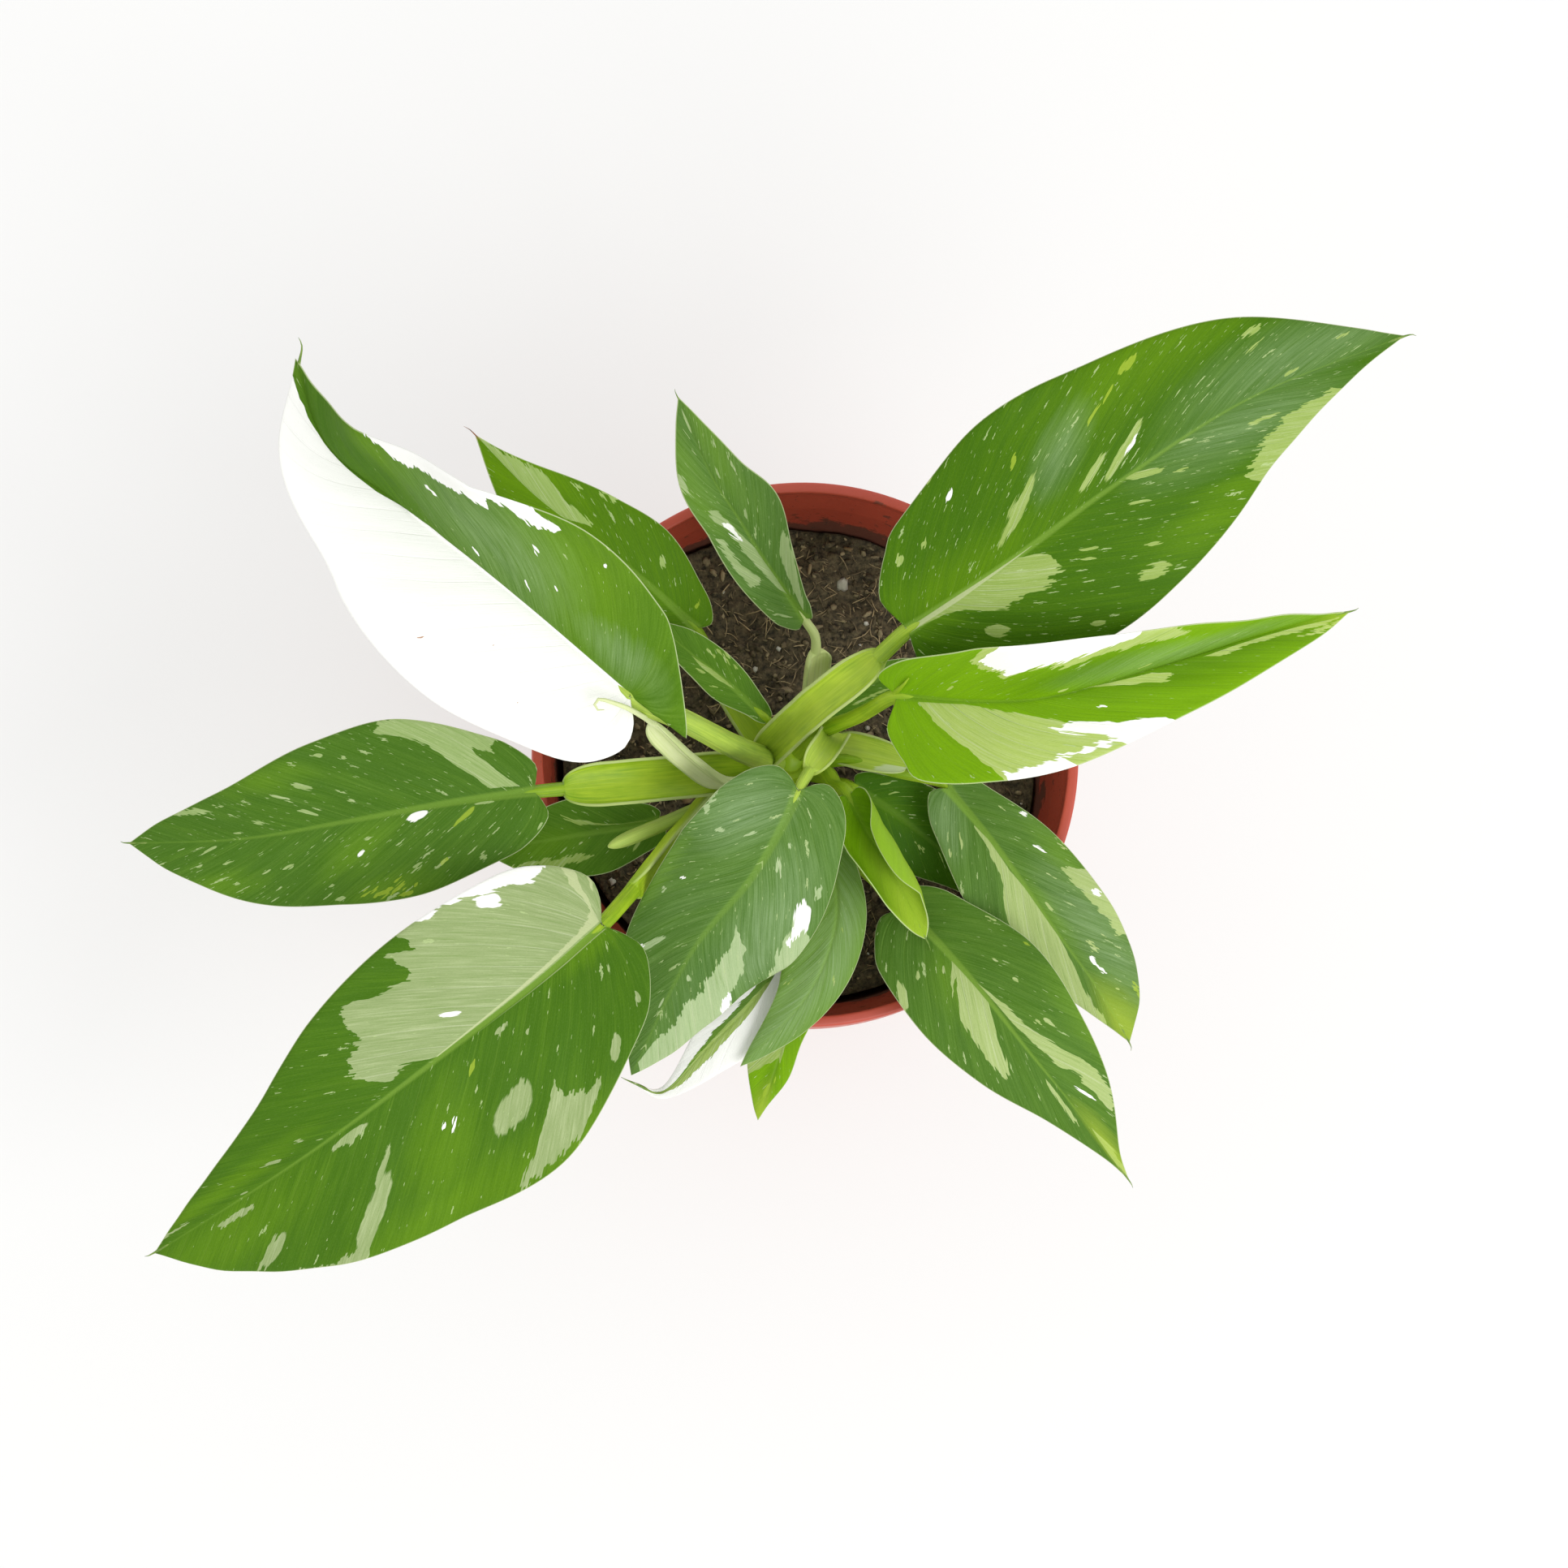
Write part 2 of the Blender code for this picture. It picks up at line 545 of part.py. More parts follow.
def material(name, colour, roughness):
    made = bpy.data.materials.new(name)
    made.use_nodes = True
    surface = made.node_tree.nodes["Principled BSDF"]
    surface.inputs["Base Color"].default_value = colour
    surface.inputs["Roughness"].default_value = roughness
    surface.inputs["Metallic"].default_value = 0.0
    made.diffuse_color = colour
    return made


def make_object(name, mesh_data, colour, roughness=0.5, smooth=30):
    """A named object in metres, with its own material and its faces pointing out."""
    vertices, faces = mesh_data
    mesh = bpy.data.meshes.new(name)
    mesh.from_pydata([tuple(v * MM) for v in vertices], [], faces)
    mesh.validate()
    made = bpy.data.objects.new(name, mesh)
    bpy.context.scene.collection.objects.link(made)
    if signed_volume(mesh) < 0:
        mesh.flip_normals()
    mesh.shade_smooth()
    mesh.set_sharp_from_angle(angle=math.radians(smooth))
    mesh.materials.append(material(name, colour, roughness))
    return made


def signed_volume(mesh):
    mesh.calc_loop_triangles()
    total = 0.0
    for triangle in mesh.loop_triangles:
        a, b, c = (mesh.vertices[i].co for i in triangle.vertices)
        total += a.dot(b.cross(c)) / 6
    return total


def apply_modifiers(made):
    """Replace the object's mesh by its evaluated one."""
    depsgraph = bpy.context.evaluated_depsgraph_get()
    mesh = bpy.data.meshes.new_from_object(made.evaluated_get(depsgraph))
    made.modifiers.clear()
    made.data = mesh


def boolean(made, operation, others):
    """Cut or join the others with the object in one step, then remove them."""
    group = bpy.data.collections.new("operands")
    bpy.context.scene.collection.children.link(group)
    for other in others:
        bpy.context.scene.collection.objects.unlink(other)
        group.objects.link(other)
    modifier = made.modifiers.new(operation.lower(), "BOOLEAN")
    modifier.operation = operation
    modifier.solver = "EXACT"
    modifier.operand_type = "COLLECTION"
    modifier.collection = group
    apply_modifiers(made)
    for other in others:
        bpy.data.objects.remove(other)
    bpy.data.collections.remove(group)


def make_pot():
    pot = make_object("pot", turned(pot_profile(), POT_SIDES), POT_RED, 0.45)
    cutters = []
    for k in range(DRAIN_HOLES):
        turn = 2 * math.pi * (k + 0.5) / DRAIN_HOLES
        centre = (DRAIN_CIRCLE * math.cos(turn), DRAIN_CIRCLE * math.sin(turn))
        profile = [(0, -2), (DRAIN_RADIUS, -2), (DRAIN_RADIUS, POT_FLOOR + 2), (0, POT_FLOOR + 2)]
        cutters.append(make_object(f"drain_{k}", turned(profile, 12, centre), POT_RED))
    boolean(pot, "DIFFERENCE", cutters)


def make_soil():
    make_object("soil", soil_mesh(), SOIL_BROWN, 0.95)


def make_stem():
    """The stem with its leaf stalks and sheaths, which grew as one body."""
    stem = make_object("stem_and_stalks", turned(STEM_PROFILE, STEM_SIDES, STEM_AXIS), LIME, 0.4)
    stalks = [make_object(f"stalk_{k}", stalk_mesh(stalk), LIME)
              for k, stalk in enumerate(STALKS + BARE_SHEATHS)]
    boolean(stem, "UNION", stalks)


def make_blades():
    for leaf in LEAVES:
        make_object(leaf.name, blade_mesh(leaf), leaf.colour, 0.35)


def main():
    for old in list(bpy.data.objects):
        bpy.data.objects.remove(old)
    make_pot()
    make_soil()
    make_stem()
    make_blades()


main()
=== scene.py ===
"""Potted philodendron: pot, soil, stem, leaf stalks and leaf blades with their surfaces.

Lengths in the tables are in millimetres; meshes are made in metres. The origin is the
middle of the pot's underside, +Z is up, +X is the right and +Y the top of the picture.
"""

import json
import math
from collections import namedtuple

import bpy
import numpy as np
from bpy.props import FloatProperty, FloatVectorProperty, IntProperty, PointerProperty
from mathutils import Matrix, Vector

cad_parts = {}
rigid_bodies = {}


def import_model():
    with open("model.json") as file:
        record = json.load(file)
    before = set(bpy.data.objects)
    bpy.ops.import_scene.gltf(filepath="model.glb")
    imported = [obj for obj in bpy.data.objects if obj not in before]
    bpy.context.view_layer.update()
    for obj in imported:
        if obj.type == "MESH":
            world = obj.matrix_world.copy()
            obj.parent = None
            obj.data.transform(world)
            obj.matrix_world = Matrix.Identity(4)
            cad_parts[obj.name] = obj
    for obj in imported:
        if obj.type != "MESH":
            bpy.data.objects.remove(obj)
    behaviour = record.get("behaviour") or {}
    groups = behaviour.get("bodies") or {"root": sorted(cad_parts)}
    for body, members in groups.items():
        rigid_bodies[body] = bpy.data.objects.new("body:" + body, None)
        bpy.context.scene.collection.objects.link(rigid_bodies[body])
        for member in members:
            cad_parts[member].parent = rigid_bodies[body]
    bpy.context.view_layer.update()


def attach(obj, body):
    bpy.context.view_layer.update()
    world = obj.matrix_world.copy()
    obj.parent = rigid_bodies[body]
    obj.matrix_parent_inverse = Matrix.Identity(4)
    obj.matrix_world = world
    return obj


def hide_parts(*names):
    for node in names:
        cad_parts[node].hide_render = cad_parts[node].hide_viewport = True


bl_info = {
    "name": "Potted philodendron",
    "version": (1, 0, 0),
    "blender": (4, 5, 0),
    "location": "View3D > Sidebar > Philodendron",
    "description": "Builds a variegated philodendron in its nursery pot",
    "category": "Add Mesh",
}

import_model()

MM = 0.001
UP = np.array([0.0, 0.0, 1.0])
UV_UNIT = 0.01

# Pot: a tapered wall with a flat lip round its mouth
POT_HEIGHT = 105
POT_RIM_RADIUS = 60
POT_BASE_RADIUS = 43
LIP_HEIGHT = 11
LIP_STEP = 3.2
LIP_WALL = 2.4
LIP_EDGE = 0.8
POT_WALL = 1.4
POT_FLOOR = 2
DRAIN_HOLES = 6
DRAIN_RADIUS = 3.5
DRAIN_CIRCLE = 31

# Soil: its height at the pot's axis, its fall across the pot and its mound round the stem
SOIL_LEVEL = 85
SOIL_SLOPE = (-3.6, -3.0)
SOIL_MOUND = 2.5
SOIL_MOUND_RADIUS = 22
SOIL_EDGE_DROP = 6

STEM_AXIS = (-4, -2)
STEM_RADIUS = 5.5
STEM_BOTTOM = 62
STEM_PROFILE = ((0, STEM_BOTTOM), (STEM_RADIUS, STEM_BOTTOM), (STEM_RADIUS, 92), (5, 96),
                (5.4, 98), (4.7, 103), (4.2, 108), (2.4, 111), (0, 112))

# Blades: where half-widths are given along the midrib, and where the side veins to them start
STATIONS = (0.1, 0.3, 0.5, 0.7, 0.9)
VEIN_STARTS = (0.02, 0.13, 0.31, 0.53, 0.80)

Leaf = namedtuple("Leaf", "name spine left right lobe fold curl wave lobe_share young",
                  defaults=((0.45, 0.45), False))
Stalk = namedtuple("Stalk", "name path radius sheath")

LEAVES = (
    Leaf("upper_right",
         ((16.5, 19, 166), (35.5, 31, 178), (56.5, 46, 186), (84, 64, 187), (119, 80, 176)),
         (20, 26.5, 23.5, 17, 6), (20.5, 25.5, 22.5, 13.5, 3.5), (1, 2), (12, (-8, -16)), (-8, -8),
         (0.8, 3)),
    Leaf("right_bright",
         ((15, 6, 160), (30, 4, 168), (45.5, 4.5, 173), (69.5, 11.5, 173), (90, 18.5, 168),
          (110, 24.5, 160)),
         (13, 18, 13, 7, 2), (18, 16, 12.5, 9, 4), (3, 1), (54, 4), (8, 8), (0.5, 2),
         young=True),
    Leaf("upper_left",
         ((-41, 5, 165), (-64, 24, 170), (-87, 42, 172), (-103, 55, 171), (-110, 74, 166)),
         (22.5, 27.5, 25.5, 16.5, 5), (21.5, 29, 25, 15, 4), (6, 14), (5, (30, 48, 66, 62, 40)),
         (-6, 10), (0.8, 2.5), (0.45, 0.1)),
    Leaf("top",
         ((-1.5, 28, 118), (-10, 38, 126.5), (-16.5, 47, 132.5), (-23, 56, 138), (-30, 72, 140)),
         (6.5, 8, 8, 7.5, 3), (3.5, 7, 10, 7, 2.5), (1, 1), (8, 20), (4, 4), (0.3, 2)),
    Leaf("behind_left",
         ((-25, 26, 115), (-36, 35, 121), (-48, 44, 125), (-61, 53.5, 127), (-73, 65.5, 128)),
         (9, 13, 12, 8.5, 3), (8, 11.5, 10, 7, 2), (1, 2), (6, 10), (-6, -6), (0.4, 2)),
    Leaf("left",
         ((-60, -12, 135), (-78.5, -15, 138), (-101, -19, 135.5), (-122, -22, 129.5),
          (-146, -22, 118)),
         (13.5, 18, 17.5, 14, 6), (13, 19.5, 17.5, 12, 5), (2, 1), ((8, -14, -14), 8), (-6, -6),
         (0.6, 2.5)),
    Leaf("lower_left",
         ((-46, -41, 144), (-63, -56, 151), (-95.5, -81, 149), (-116, -95, 140.5),
          (-139, -109, 124)),
         (23, 33, 30, 24, 11.5), (22.5, 25.5, 22, 12.5, 4.5), (3, 4.5), ((8, -10, -10), (10, 6)),
         (-6, -8), (0.9, 3)),
    Leaf("front",
         ((-5, -13, 148), (-8.5, -20.5, 149), (-15, -31.5, 145.5), (-27, -46.5, 135),
          (-38.5, -71, 114)),
         (14, 18.5, 20, 15, 6.5), (15.5, 18, 16, 12.5, 4.5), (4, 3), ((0, -22, -22), (4, -10, -10)),
         (-14, -10), (0.6, 2)),
    Leaf("front_green",
         ((4, -21, 119), (5, -38, 124), (-1, -54, 121), (-15, -69, 113)),
         (5, 6.5, 6.5, 5, 2.5), (6, 9, 9, 5.5, 2), (1.5, 1.5), ((4, -18), (4, -10)), (-8, -8),
         (0.3, 2)),
    Leaf("front_white",
         ((-2, -34, 110), (-10, -52, 113), (-22, -65, 110), (-31, -74, 102), (-38, -72, 105)),
         (7, 9.5, 8, 5, 1), (5, 7, 6, 3, 0.7), (1.5, 1.5), (-6, -8), (-6, -6), (0.3, 2)),
    Leaf("front_low",
         ((-1, -42, 104), (-3, -54, 108), (-6, -66, 107), (-10, -80, 95)),
         (4, 5.5, 4, 3.5, 1), (6, 7, 8, 6, 2.5), (1.5, 1.5), (-6, -6), (-8, -8), (0.3, 2),
         young=True),
    Leaf("lower_right",
         ((21, -35, 115), (34.5, -51, 122.5), (45.5, -65, 123), (56.5, -77.5, 118),
          (70, -93, 107)),
         (10.5, 15, 14, 10, 2.5), (14, 15.5, 12.5, 6.5, 1.5), (2.5, 2), (12, (8, -12, -12)),
         (-6, -6), (0.5, 2.5)),
    Leaf("right",
         ((30, -8.5, 114), (41, -22.5, 117), (53.5, -40, 116), (63, -52, 111.5), (71, -63, 103)),
         (7.5, 12, 13.5, 12.5, 7), (9, 12.5, 11.5, 7.5, 2.5), (1.5, 1.5), ((6, -8), (6, -10)),
         (-8, -6), (0.5, 2)),
    Leaf("right_low",
         ((10.5, -8, 108), (20, -14, 107), (33, -24, 103), (42, -33, 98)),
         (6, 9.5, 10, 7, 3), (6, 9, 8.5, 5.5, 2), (1.5, 1.5), (0, -4), (-6, -6), (0.3, 2)),
    Leaf("centre_left",
         ((-10.5, 5.5, 124.5), (-18.5, 12.5, 126), (-27.5, 20, 124.5), (-36, 28, 121)),
         (2.5, 4.5, 4, 3, 1), (3, 4.5, 5, 4, 1), (1, 1), (4, 10), (-4, -4), (0.2, 2)),
    Leaf("left_low",
         ((-33, -16, 112), (-44, -18, 112), (-57, -20, 109), (-70, -22, 104)),
         (6.5, 9, 9, 8, 3.5), (5, 8, 8, 6, 2.5), (1.5, 1), ((6, -4), 6), (-6, -6), (0.3, 2)),
    Leaf("centre_right",
         ((2, 7, 108), (8, 11, 112), (15, 15, 114), (23, 20, 113)),
         (4, 5.5, 5, 3.5, 1.5), (4, 5.5, 5.5, 3.5, 1.5), (1, 1), (8, 4), (-4, -4), (0.2, 2)),
    Leaf("rolled",
         ((7.5, -11.5, 125), (11, -19, 127), (15, -25.5, 128), (19, -32, 126), (24.5, -42, 121)),
         (7, 12, 12, 7, 2.5), (5, 10, 11, 6.5, 2.5), (0.5, 0.5), (15, 15),
         ((150, 150, 170, 320), (70, 70, 90, 130)), (0.0, 1), young=True),
)

# Markings are placed on a blade by (s, d): s is the distance from the base across the side
# veins, and d the distance out along a vein, positive on the left half. A sector lies
# between two edges that run along the blade. A patch is an oval: its tone, s, d, half-width
# across the veins, half-length along them and its slant towards the tip. A zone is a soft oval.
# Haze is painted sheen, fresh the share of young green, midrib how clearly it shows.
# Haze and the zones of tone sheen are painted reflection: a whitish veil that stands in for the
# light's soft gleam on the leaf's skin.
MARGIN = 45
PALE = (0.31, 0.43, 0.10)
Marks = namedtuple("Marks", "slant specks sectors patches zones haze fresh midrib pale",
                   defaults=((), (), (), 0.05, 0.2, 0.6, PALE))

MARKS = {
    "upper_right": Marks(
        0.6, 0.62,
        (("pale", ((3, -0.3), (38, -0.3), (39.5, -2), (40.3, -4)),
          ((3, -0.8), (14, -2), (18, -4), (20, -7.5), (22, -10), (28, -9.5), (30, -11.5), (32, -12),
           (35, -10.5), (37, -10.5), (39, -8), (40.3, -4.5))),
         ("pale", ((68, -23), (73, -21.5), (76, -19), (80, -17), (84, -16), (88, -14), (92, -13.9),
                   (95, -14.2), (99, -13.8)), ((68, -MARGIN), (99, -MARGIN))),
         ("cream", ((0, 0.3), (20, 0.4), (42, 0.1)), ((0, -0.9), (20, -1.1), (42, -0.2)))),
        (("pale", 37, 10, 2.4, 5.5, 0.6), ("pale", 55.5, 6.7, 1.6, 2.8, 0.7),
         ("pale", 62.7, 7.1, 2.2, 4.7, 0.5), ("white", 64.5, 7.2, 0.8, 2, 0.5),
         ("pale", 66.8, -2.5, 1.6, 2.4, 0.4), ("pale", 40.5, -27, 3, 2, 0.3),
         ("pale", 15, -12.5, 2, 2.3, 0), ("pale", 24, -27.5, 1, 1.5, 0),
         ("pale", 43.5, -10.2, 0.8, 1.5, 0.5), ("pale", 40.8, -12.9, 0.5, 1.3, 0.3),
         ("pale", 58.3, -9.1, 0.6, 1.8, 0.4), ("pale", 47.8, -21.4, 0.7, 1.1, 0.4),
         ("pale", 68.5, -9.2, 1, 0.9, 0), ("pale", 86, -10.8, 2.4, 1.2, 0.6),
         ("white", 18.3, 23, 1, 1.3, 0.3), ("pale", 13, 27.3, 0.7, 1, 0),
         ("pale", 3.5, 14, 1.4, 1.2, 0), ("pale", 10.8, 15, 1, 1.2, 0),
         ("yellow", 35, 21.7, 0.7, 1.2, 0.3), ("yellow", 58, 27.4, 1.5, 1.5, 0.3),
         ("yellow", 52.5, 20.4, 0.5, 1.8, 0.5), ("yellow", 55, 23.1, 0.5, 1.6, 0.5),
         ("pale", 83.5, 20.7, 1.5, 1.1, 0.5), ("pale", 86, 16, 0.9, 1.4, 0.6),
         ("pale", 106.5, 10.5, 1.2, 0.7, 0.5), ("pale", 100.5, 3.1, 1.2, 0.9, 0.6)),
        (("sheen", 46, 17, 5, 7), ("sheen", 84, -8, 16, 9), ("sheen", 100, 8, 20, 10),
         ("fresh", 60, 27.5, 17, 10), ("fresh", 58, -26.6, 12, 6), ("fresh", 20, 3, 26, 6)),
        haze=0.0, fresh=0.05, midrib=0.7),
    "right_bright": Marks(
        0.45, 0.2,
        (("pale", ((8, -1.2), (22, -1.2), (25, -2), (28, -3.5), (31, -4.5), (33.5, -7.5), (35, -11),
                   (37, -13), (39, -16), (42, -18), (45, -20.8)),
          ((8, -1.4), (10.5, -4.5), (11, -7), (12.5, -9), (14.5, -14), (15.3, -20), (16, -MARGIN),
           (45, -MARGIN))),
         ("white", ((31, -12), (36, -11), (38, -13), (39.5, -16), (43.5, -19), (45, -20.6)),
          ((31, -13), (33, -16), (35, -20), (45, -MARGIN))),
         ("white", ((16, -20.6), (24, -20.6), (30, -19.8), (45, -20.6)),
          ((16, -MARGIN), (23, -MARGIN), (25, -21.4), (34, -22), (37, -MARGIN), (45, -MARGIN))),
         ("pale", ((49, 0.3), (55, -1), (60.5, -2), (62.3, -5.2)),
          ((49, 0.1), (54, -4), (57.5, -7), (60, -7), (62.3, -5.5))),
         ("pale", ((71, -2), (75, -1.8), (92, -1.5), (96, -2), (99, -1.5)),
          ((71, -2.6), (72, -4.5), (73, -4.8), (78, -3.8), (90, -4.5), (93, -5), (99, -2))),
         ("pale", ((86, -7), (92, -6), (99, -3.2)), ((86, -8.2), (92, -8), (99, -4))),
         ("pale", ((14, 17), (18, 14), (22, 13), (25, 10.5), (27, 15), (30, 16), (34, 13.5),
                   (36, 14.2), (38, 15.5), (40, 16.6), (54, 16.5), (55, 17.6)),
          ((14, 16.6), (55, 17))),
         ("pale", ((14, MARGIN), (45, MARGIN), (50, 21), (55, 18.2)),
          ((14, 17), (18, 14), (22, 13), (25, 10.5), (27, 15), (30, 16), (34, 13.5), (38, 15.5),
           (40, 16.6), (54, 16.5), (55, 17.6))),
         ("white", ((16, MARGIN), (42, MARGIN)),
          ((16, 17), (22, 14), (25, 12), (28, 16.5), (34, 17), (38, 19), (42, 21)))),
        (("pale", 42, 2.5, 0.8, 0.6, 0), ("pale", 57.5, 4.3, 0.9, 0.6, 0.3),
         ("white", 43.5, -9.2, 0.7, 0.6, 0), ("pale", 15.5, 4.8, 0.4, 0.9, 0.3)),
        (("sheen", 62, 8, 18, 5), ("deep", 40, 10, 12, 6), ("deep", 70, -3, 24, 9),
         ("yellow", 108, 0, 12, 12)),
        haze=0.0, fresh=0.9, midrib=0.3, pale=(0.42, 0.55, 0.13)),
    "upper_left": Marks(
        0.3, 0.12,
        (("white", ((-12, MARGIN), (97, MARGIN), (99, 6)),
          ((-12, -0.6), (0, -0.5), (40, -0.5), (58, -1.2), (61, -1.5), (66, -0.8), (70, 0.5),
           (73, 1.3), (78, 1), (84, 0.6), (88, 1), (90, 2.5), (95, 4), (99, 5.8))),
         ("white", ((25.5, -30), (27, -28.2), (31.5, -27), (33, -27.8), (35, -29.5), (36, -30.5),
                    (39, -30.2), (40, -25.5), (44, -26.7), (48, -25), (50, -23.3), (55, -23),
                    (57, -20.5), (60, -20), (62, -22), (69, -21.8)),
          ((25.5, -30.4), (31, -34), (32, -MARGIN), (69, -MARGIN)))),
        (("brown", 36.5, 23.5, 0.2, 0.6, 0), ("brown", 14.5, 19, 0.12, 0.15, 0),
         ("brown", 30, 13.2, 0.12, 0.15, 0), ("white", 54, -18, 1.2, 0.6, 0.3),
         ("white", 36.5, -6, 0.4, 1, 0.3), ("white", 49, -5.5, 0.4, 0.9, 0.3),
         ("white", 29, -11, 0.35, 0.6, 0.3), ("white", 32.3, -19.5, 0.4, 0.9, 0.2),
         ("white", 17.5, -25.5, 0.5, 0.5, 0)),
        (("sheen", 10, -6.5, 12, 4), ("sheen", 42, -14, 14, 14), ("fresh", 24, -20, 12, 14),
         ("fresh", 66, -18, 6, 5), ("deep", 82, -8, 20, 12)), haze=0.03, fresh=0.3, midrib=0.15),
    "top": Marks(
        0.5, 0.55,
        (("pale", ((11, 0.2), (13, 1.7), (17, 3.1), (20, 4.4), (21, 5.5), (25, 5.4), (27, 5.3),
                   (30, 7.5), (33, 8.2), (33.6, 6.8)),
          ((11, 0), (18, -0.1), (25, 0.4), (28, 2.1), (31, 3.9), (33.6, 4.6))),
         ("pale", ((11.5, 9.2), (14, 10.9), (18, 11.7), (24, 12.1)),
          ((11.5, 9), (12.8, 7.9), (13, 6.4), (15, 4.6), (16, 6.3), (18, 7.9), (20, 8.7),
           (24, 10.1))),
         ("pale", ((2, -1.2), (9, -2.9), (12, -4), (15, -5.2), (17, -6), (18, -8.1), (18.7, -10.1)),
          ((2, -2.2), (4, -5.1), (7, -7.9), (10, -10.4), (12, -11.2), (14, -11.8), (17, -11.4),
           (18.7, -10.6)))),
        (("white", 28, 4.2, 2.3, 1.2, 0.3), ("pale", 3, 5.1, 0.3, 2.4, 0.3),
         ("pale", 31, -3.2, 0.7, 0.8, 0.5), ("pale", 41.5, -3, 0.9, 0.5, 0.4),
         ("pale", 37, -9.3, 2.2, 0.4, 0), ("pale", 43.5, -7.2, 0.9, 0.4, 0.5),
         ("pale", 46.5, 3, 0.4, 0.7, 0.5), ("pale", 36.5, 10.7, 2, 0.8, 0.4),
         ("pale", 53, 0.9, 2, 0.6, 0)),
        (("fresh", 38, 9.6, 10, 6), ("fresh", 45, -6.2, 14, 5), ("fresh", 5, 0.2, 8, 2)),
        haze=0.15, fresh=0.1, pale=(0.32, 0.43, 0.18)),
    "behind_left": Marks(
        0.5, 0.5,
        (("pale", ((34, -3.8), (40, -1), (43, 0.5), (52, 0.2), (60, 0), (67, 0.2)),
          ((34, -4.2), (38, -5.8), (40, -6.3), (41, -8.5), (44, -10), (48, -9), (56, -5.5),
           (62, -2.6), (67, -0.2))),),
        (("pale", 15, -8.3, 0.9, 1.2, 0), ("yellow", 2.8, -4.8, 0.7, 0.6, 0),
         ("pale", 35, -12.5, 1.5, 0.4, 0), ("pale", 27, -15, 2.5, 0.7, 0)),
        (("brown", 64.8, 0, 1.6, 4), ("fresh", 50, 3, 14, 9), ("fresh", 46, -10, 9, 4)),
        haze=0.0, fresh=0.3, pale=(0.34, 0.48, 0.13)),
    "left": Marks(
        0.5, 0.55,
        (("pale", ((4, -1.6), (10, -2.1), (13.3, -2.3), (14.5, -6.3), (16, -11.4), (17, -16.4),
                   (19, -19.4), (20.5, -20.9), (23.5, -23.4)),
          ((4, -2), (6, -4.1), (8, -8.2), (8.8, -11.2), (9, -MARGIN), (16, -MARGIN), (18, -25.1),
           (20, -25.1), (23.5, -23.7))),
         ("pale", ((2, -12.4), (4.8, -11.3), (8.6, -12.2), (9.2, -12.3)),
          ((2, -MARGIN), (9.2, -MARGIN))),
         ("pale", ((66, -11.2), (74, -10.7)),
          ((66, -11.5), (68, -13.5), (72, -13.2), (74, -11.5)))),
        (("white", 31, 2.2, 2.1, 1.3, 0.2), ("yellow", 18.9, 4.4, 1.1, 2.4, 0.4),
         ("pale", 15.8, 1.4, 2.4, 0.35, 0),
         ("yellow", 30.5, 21.6, 1.3, 0.8, 0.3), ("yellow", 27.5, 22.6, 1.6, 1.1, 0.2),
         ("yellow", 24.5, 21.4, 1.1, 1.5, 0.4), ("yellow", 22, 22.6, 1.2, 0.7, 0.2),
         ("yellow", 26, 19.6, 0.6, 0.9, 0.4), ("yellow", 21, 20.4, 0.5, 0.6, 0.3),
         ("yellow", 17.5, 15.1, 0.9, 0.9, 0), ("pale", 23.3, 16.6, 1, 0.7, 0.4),
         ("pale", 8.3, 14.8, 1, 0.5, 0.4), ("pale", 36, 22.1, 1.2, 0.6, 0.3),
         ("pale", 40.5, 19, 1, 0.4, 0), ("pale", 53, 11, 0.6, 0.7, 0.4),
         ("pale", 57, 10.8, 0.6, 0.7, 0.4), ("pale", 66, 7.3, 0.8, 0.6, 0.3),
         ("pale", 72.5, 3, 0.7, 1.2, 0.4), ("pale", 71.5, 9.2, 0.7, 0.5, 0.3),
         ("white", 38.5, 9.7, 0.5, 0.7, 0), ("pale", 39, 5.7, 0.9, 0.4, 0.4),
         ("pale", 35.3, 13.5, 0.4, 0.8, 0.2), ("pale", 60.7, 14.5, 0.6, 0.4, 0),
         ("pale", 50.7, -4.9, 0.8, 1.5, 0.4), ("pale", 45.2, -13.2, 0.9, 1.4, 0.4),
         ("pale", 51, -12.1, 0.8, 1.4, 0.4), ("pale", 60.8, -4.9, 0.6, 0.7, 0.3),
         ("pale", 67, -2.3, 0.8, 0.4, 0), ("pale", 41, -5.7, 0.7, 0.5, 0),
         ("pale", 36.5, -21.3, 1, 0.6, 0), ("pale", 32.8, -19, 0.5, 0.4, 0),
         ("pale", 63, -12.3, 1.2, 0.3, 0), ("pale", 42, -20.3, 0.7, 0.4, 0)),
        (("fresh", 25, 21.6, 8, 4), ("fresh", 40, 8.5, 6, 7), ("fresh", 50, -18.5, 8, 4),
         ("fresh", 63, 15.5, 6, 4)), haze=0.05, fresh=0.05, midrib=0.6, pale=(0.31, 0.43, 0.15)),
    "lower_left": Marks(
        0.35, 0.24,
        (("pale", ((-10, -0.4), (56, -0.4), (57, -1.5), (59, -5), (64, -3.3)),
          ((-10, -MARGIN), (24, -MARGIN), (26, -31), (28, -27.5), (30, -30.5), (31.5, -31),
           (33, -25.5), (36, -22.5), (38, -24), (41, -25), (43, -28), (45, -29), (47, -28),
           (49, -25.5), (51, -23), (52, -19), (58, -18), (60, -15), (63, -11.6), (64, -8.8))),
         ("white", ((-4, -20), (1.5, -16), (3, -17), (5, -19), (7, -21), (9, -21.5), (11, -24),
                    (13, -26), (16, -28.5), (20, -30.5), (24, -33)),
          ((-4, -MARGIN), (24, -MARGIN))),
         ("pale", ((16, 29), (17, 31), (20, 33.5), (24, 36.5), (28, 38), (36.5, 39)),
          ((16, 27.5), (21, 27.5), (25.5, 26), (27.5, 21.5), (28.5, 24.5), (31, 30), (34, 34),
           (36.5, 38))),
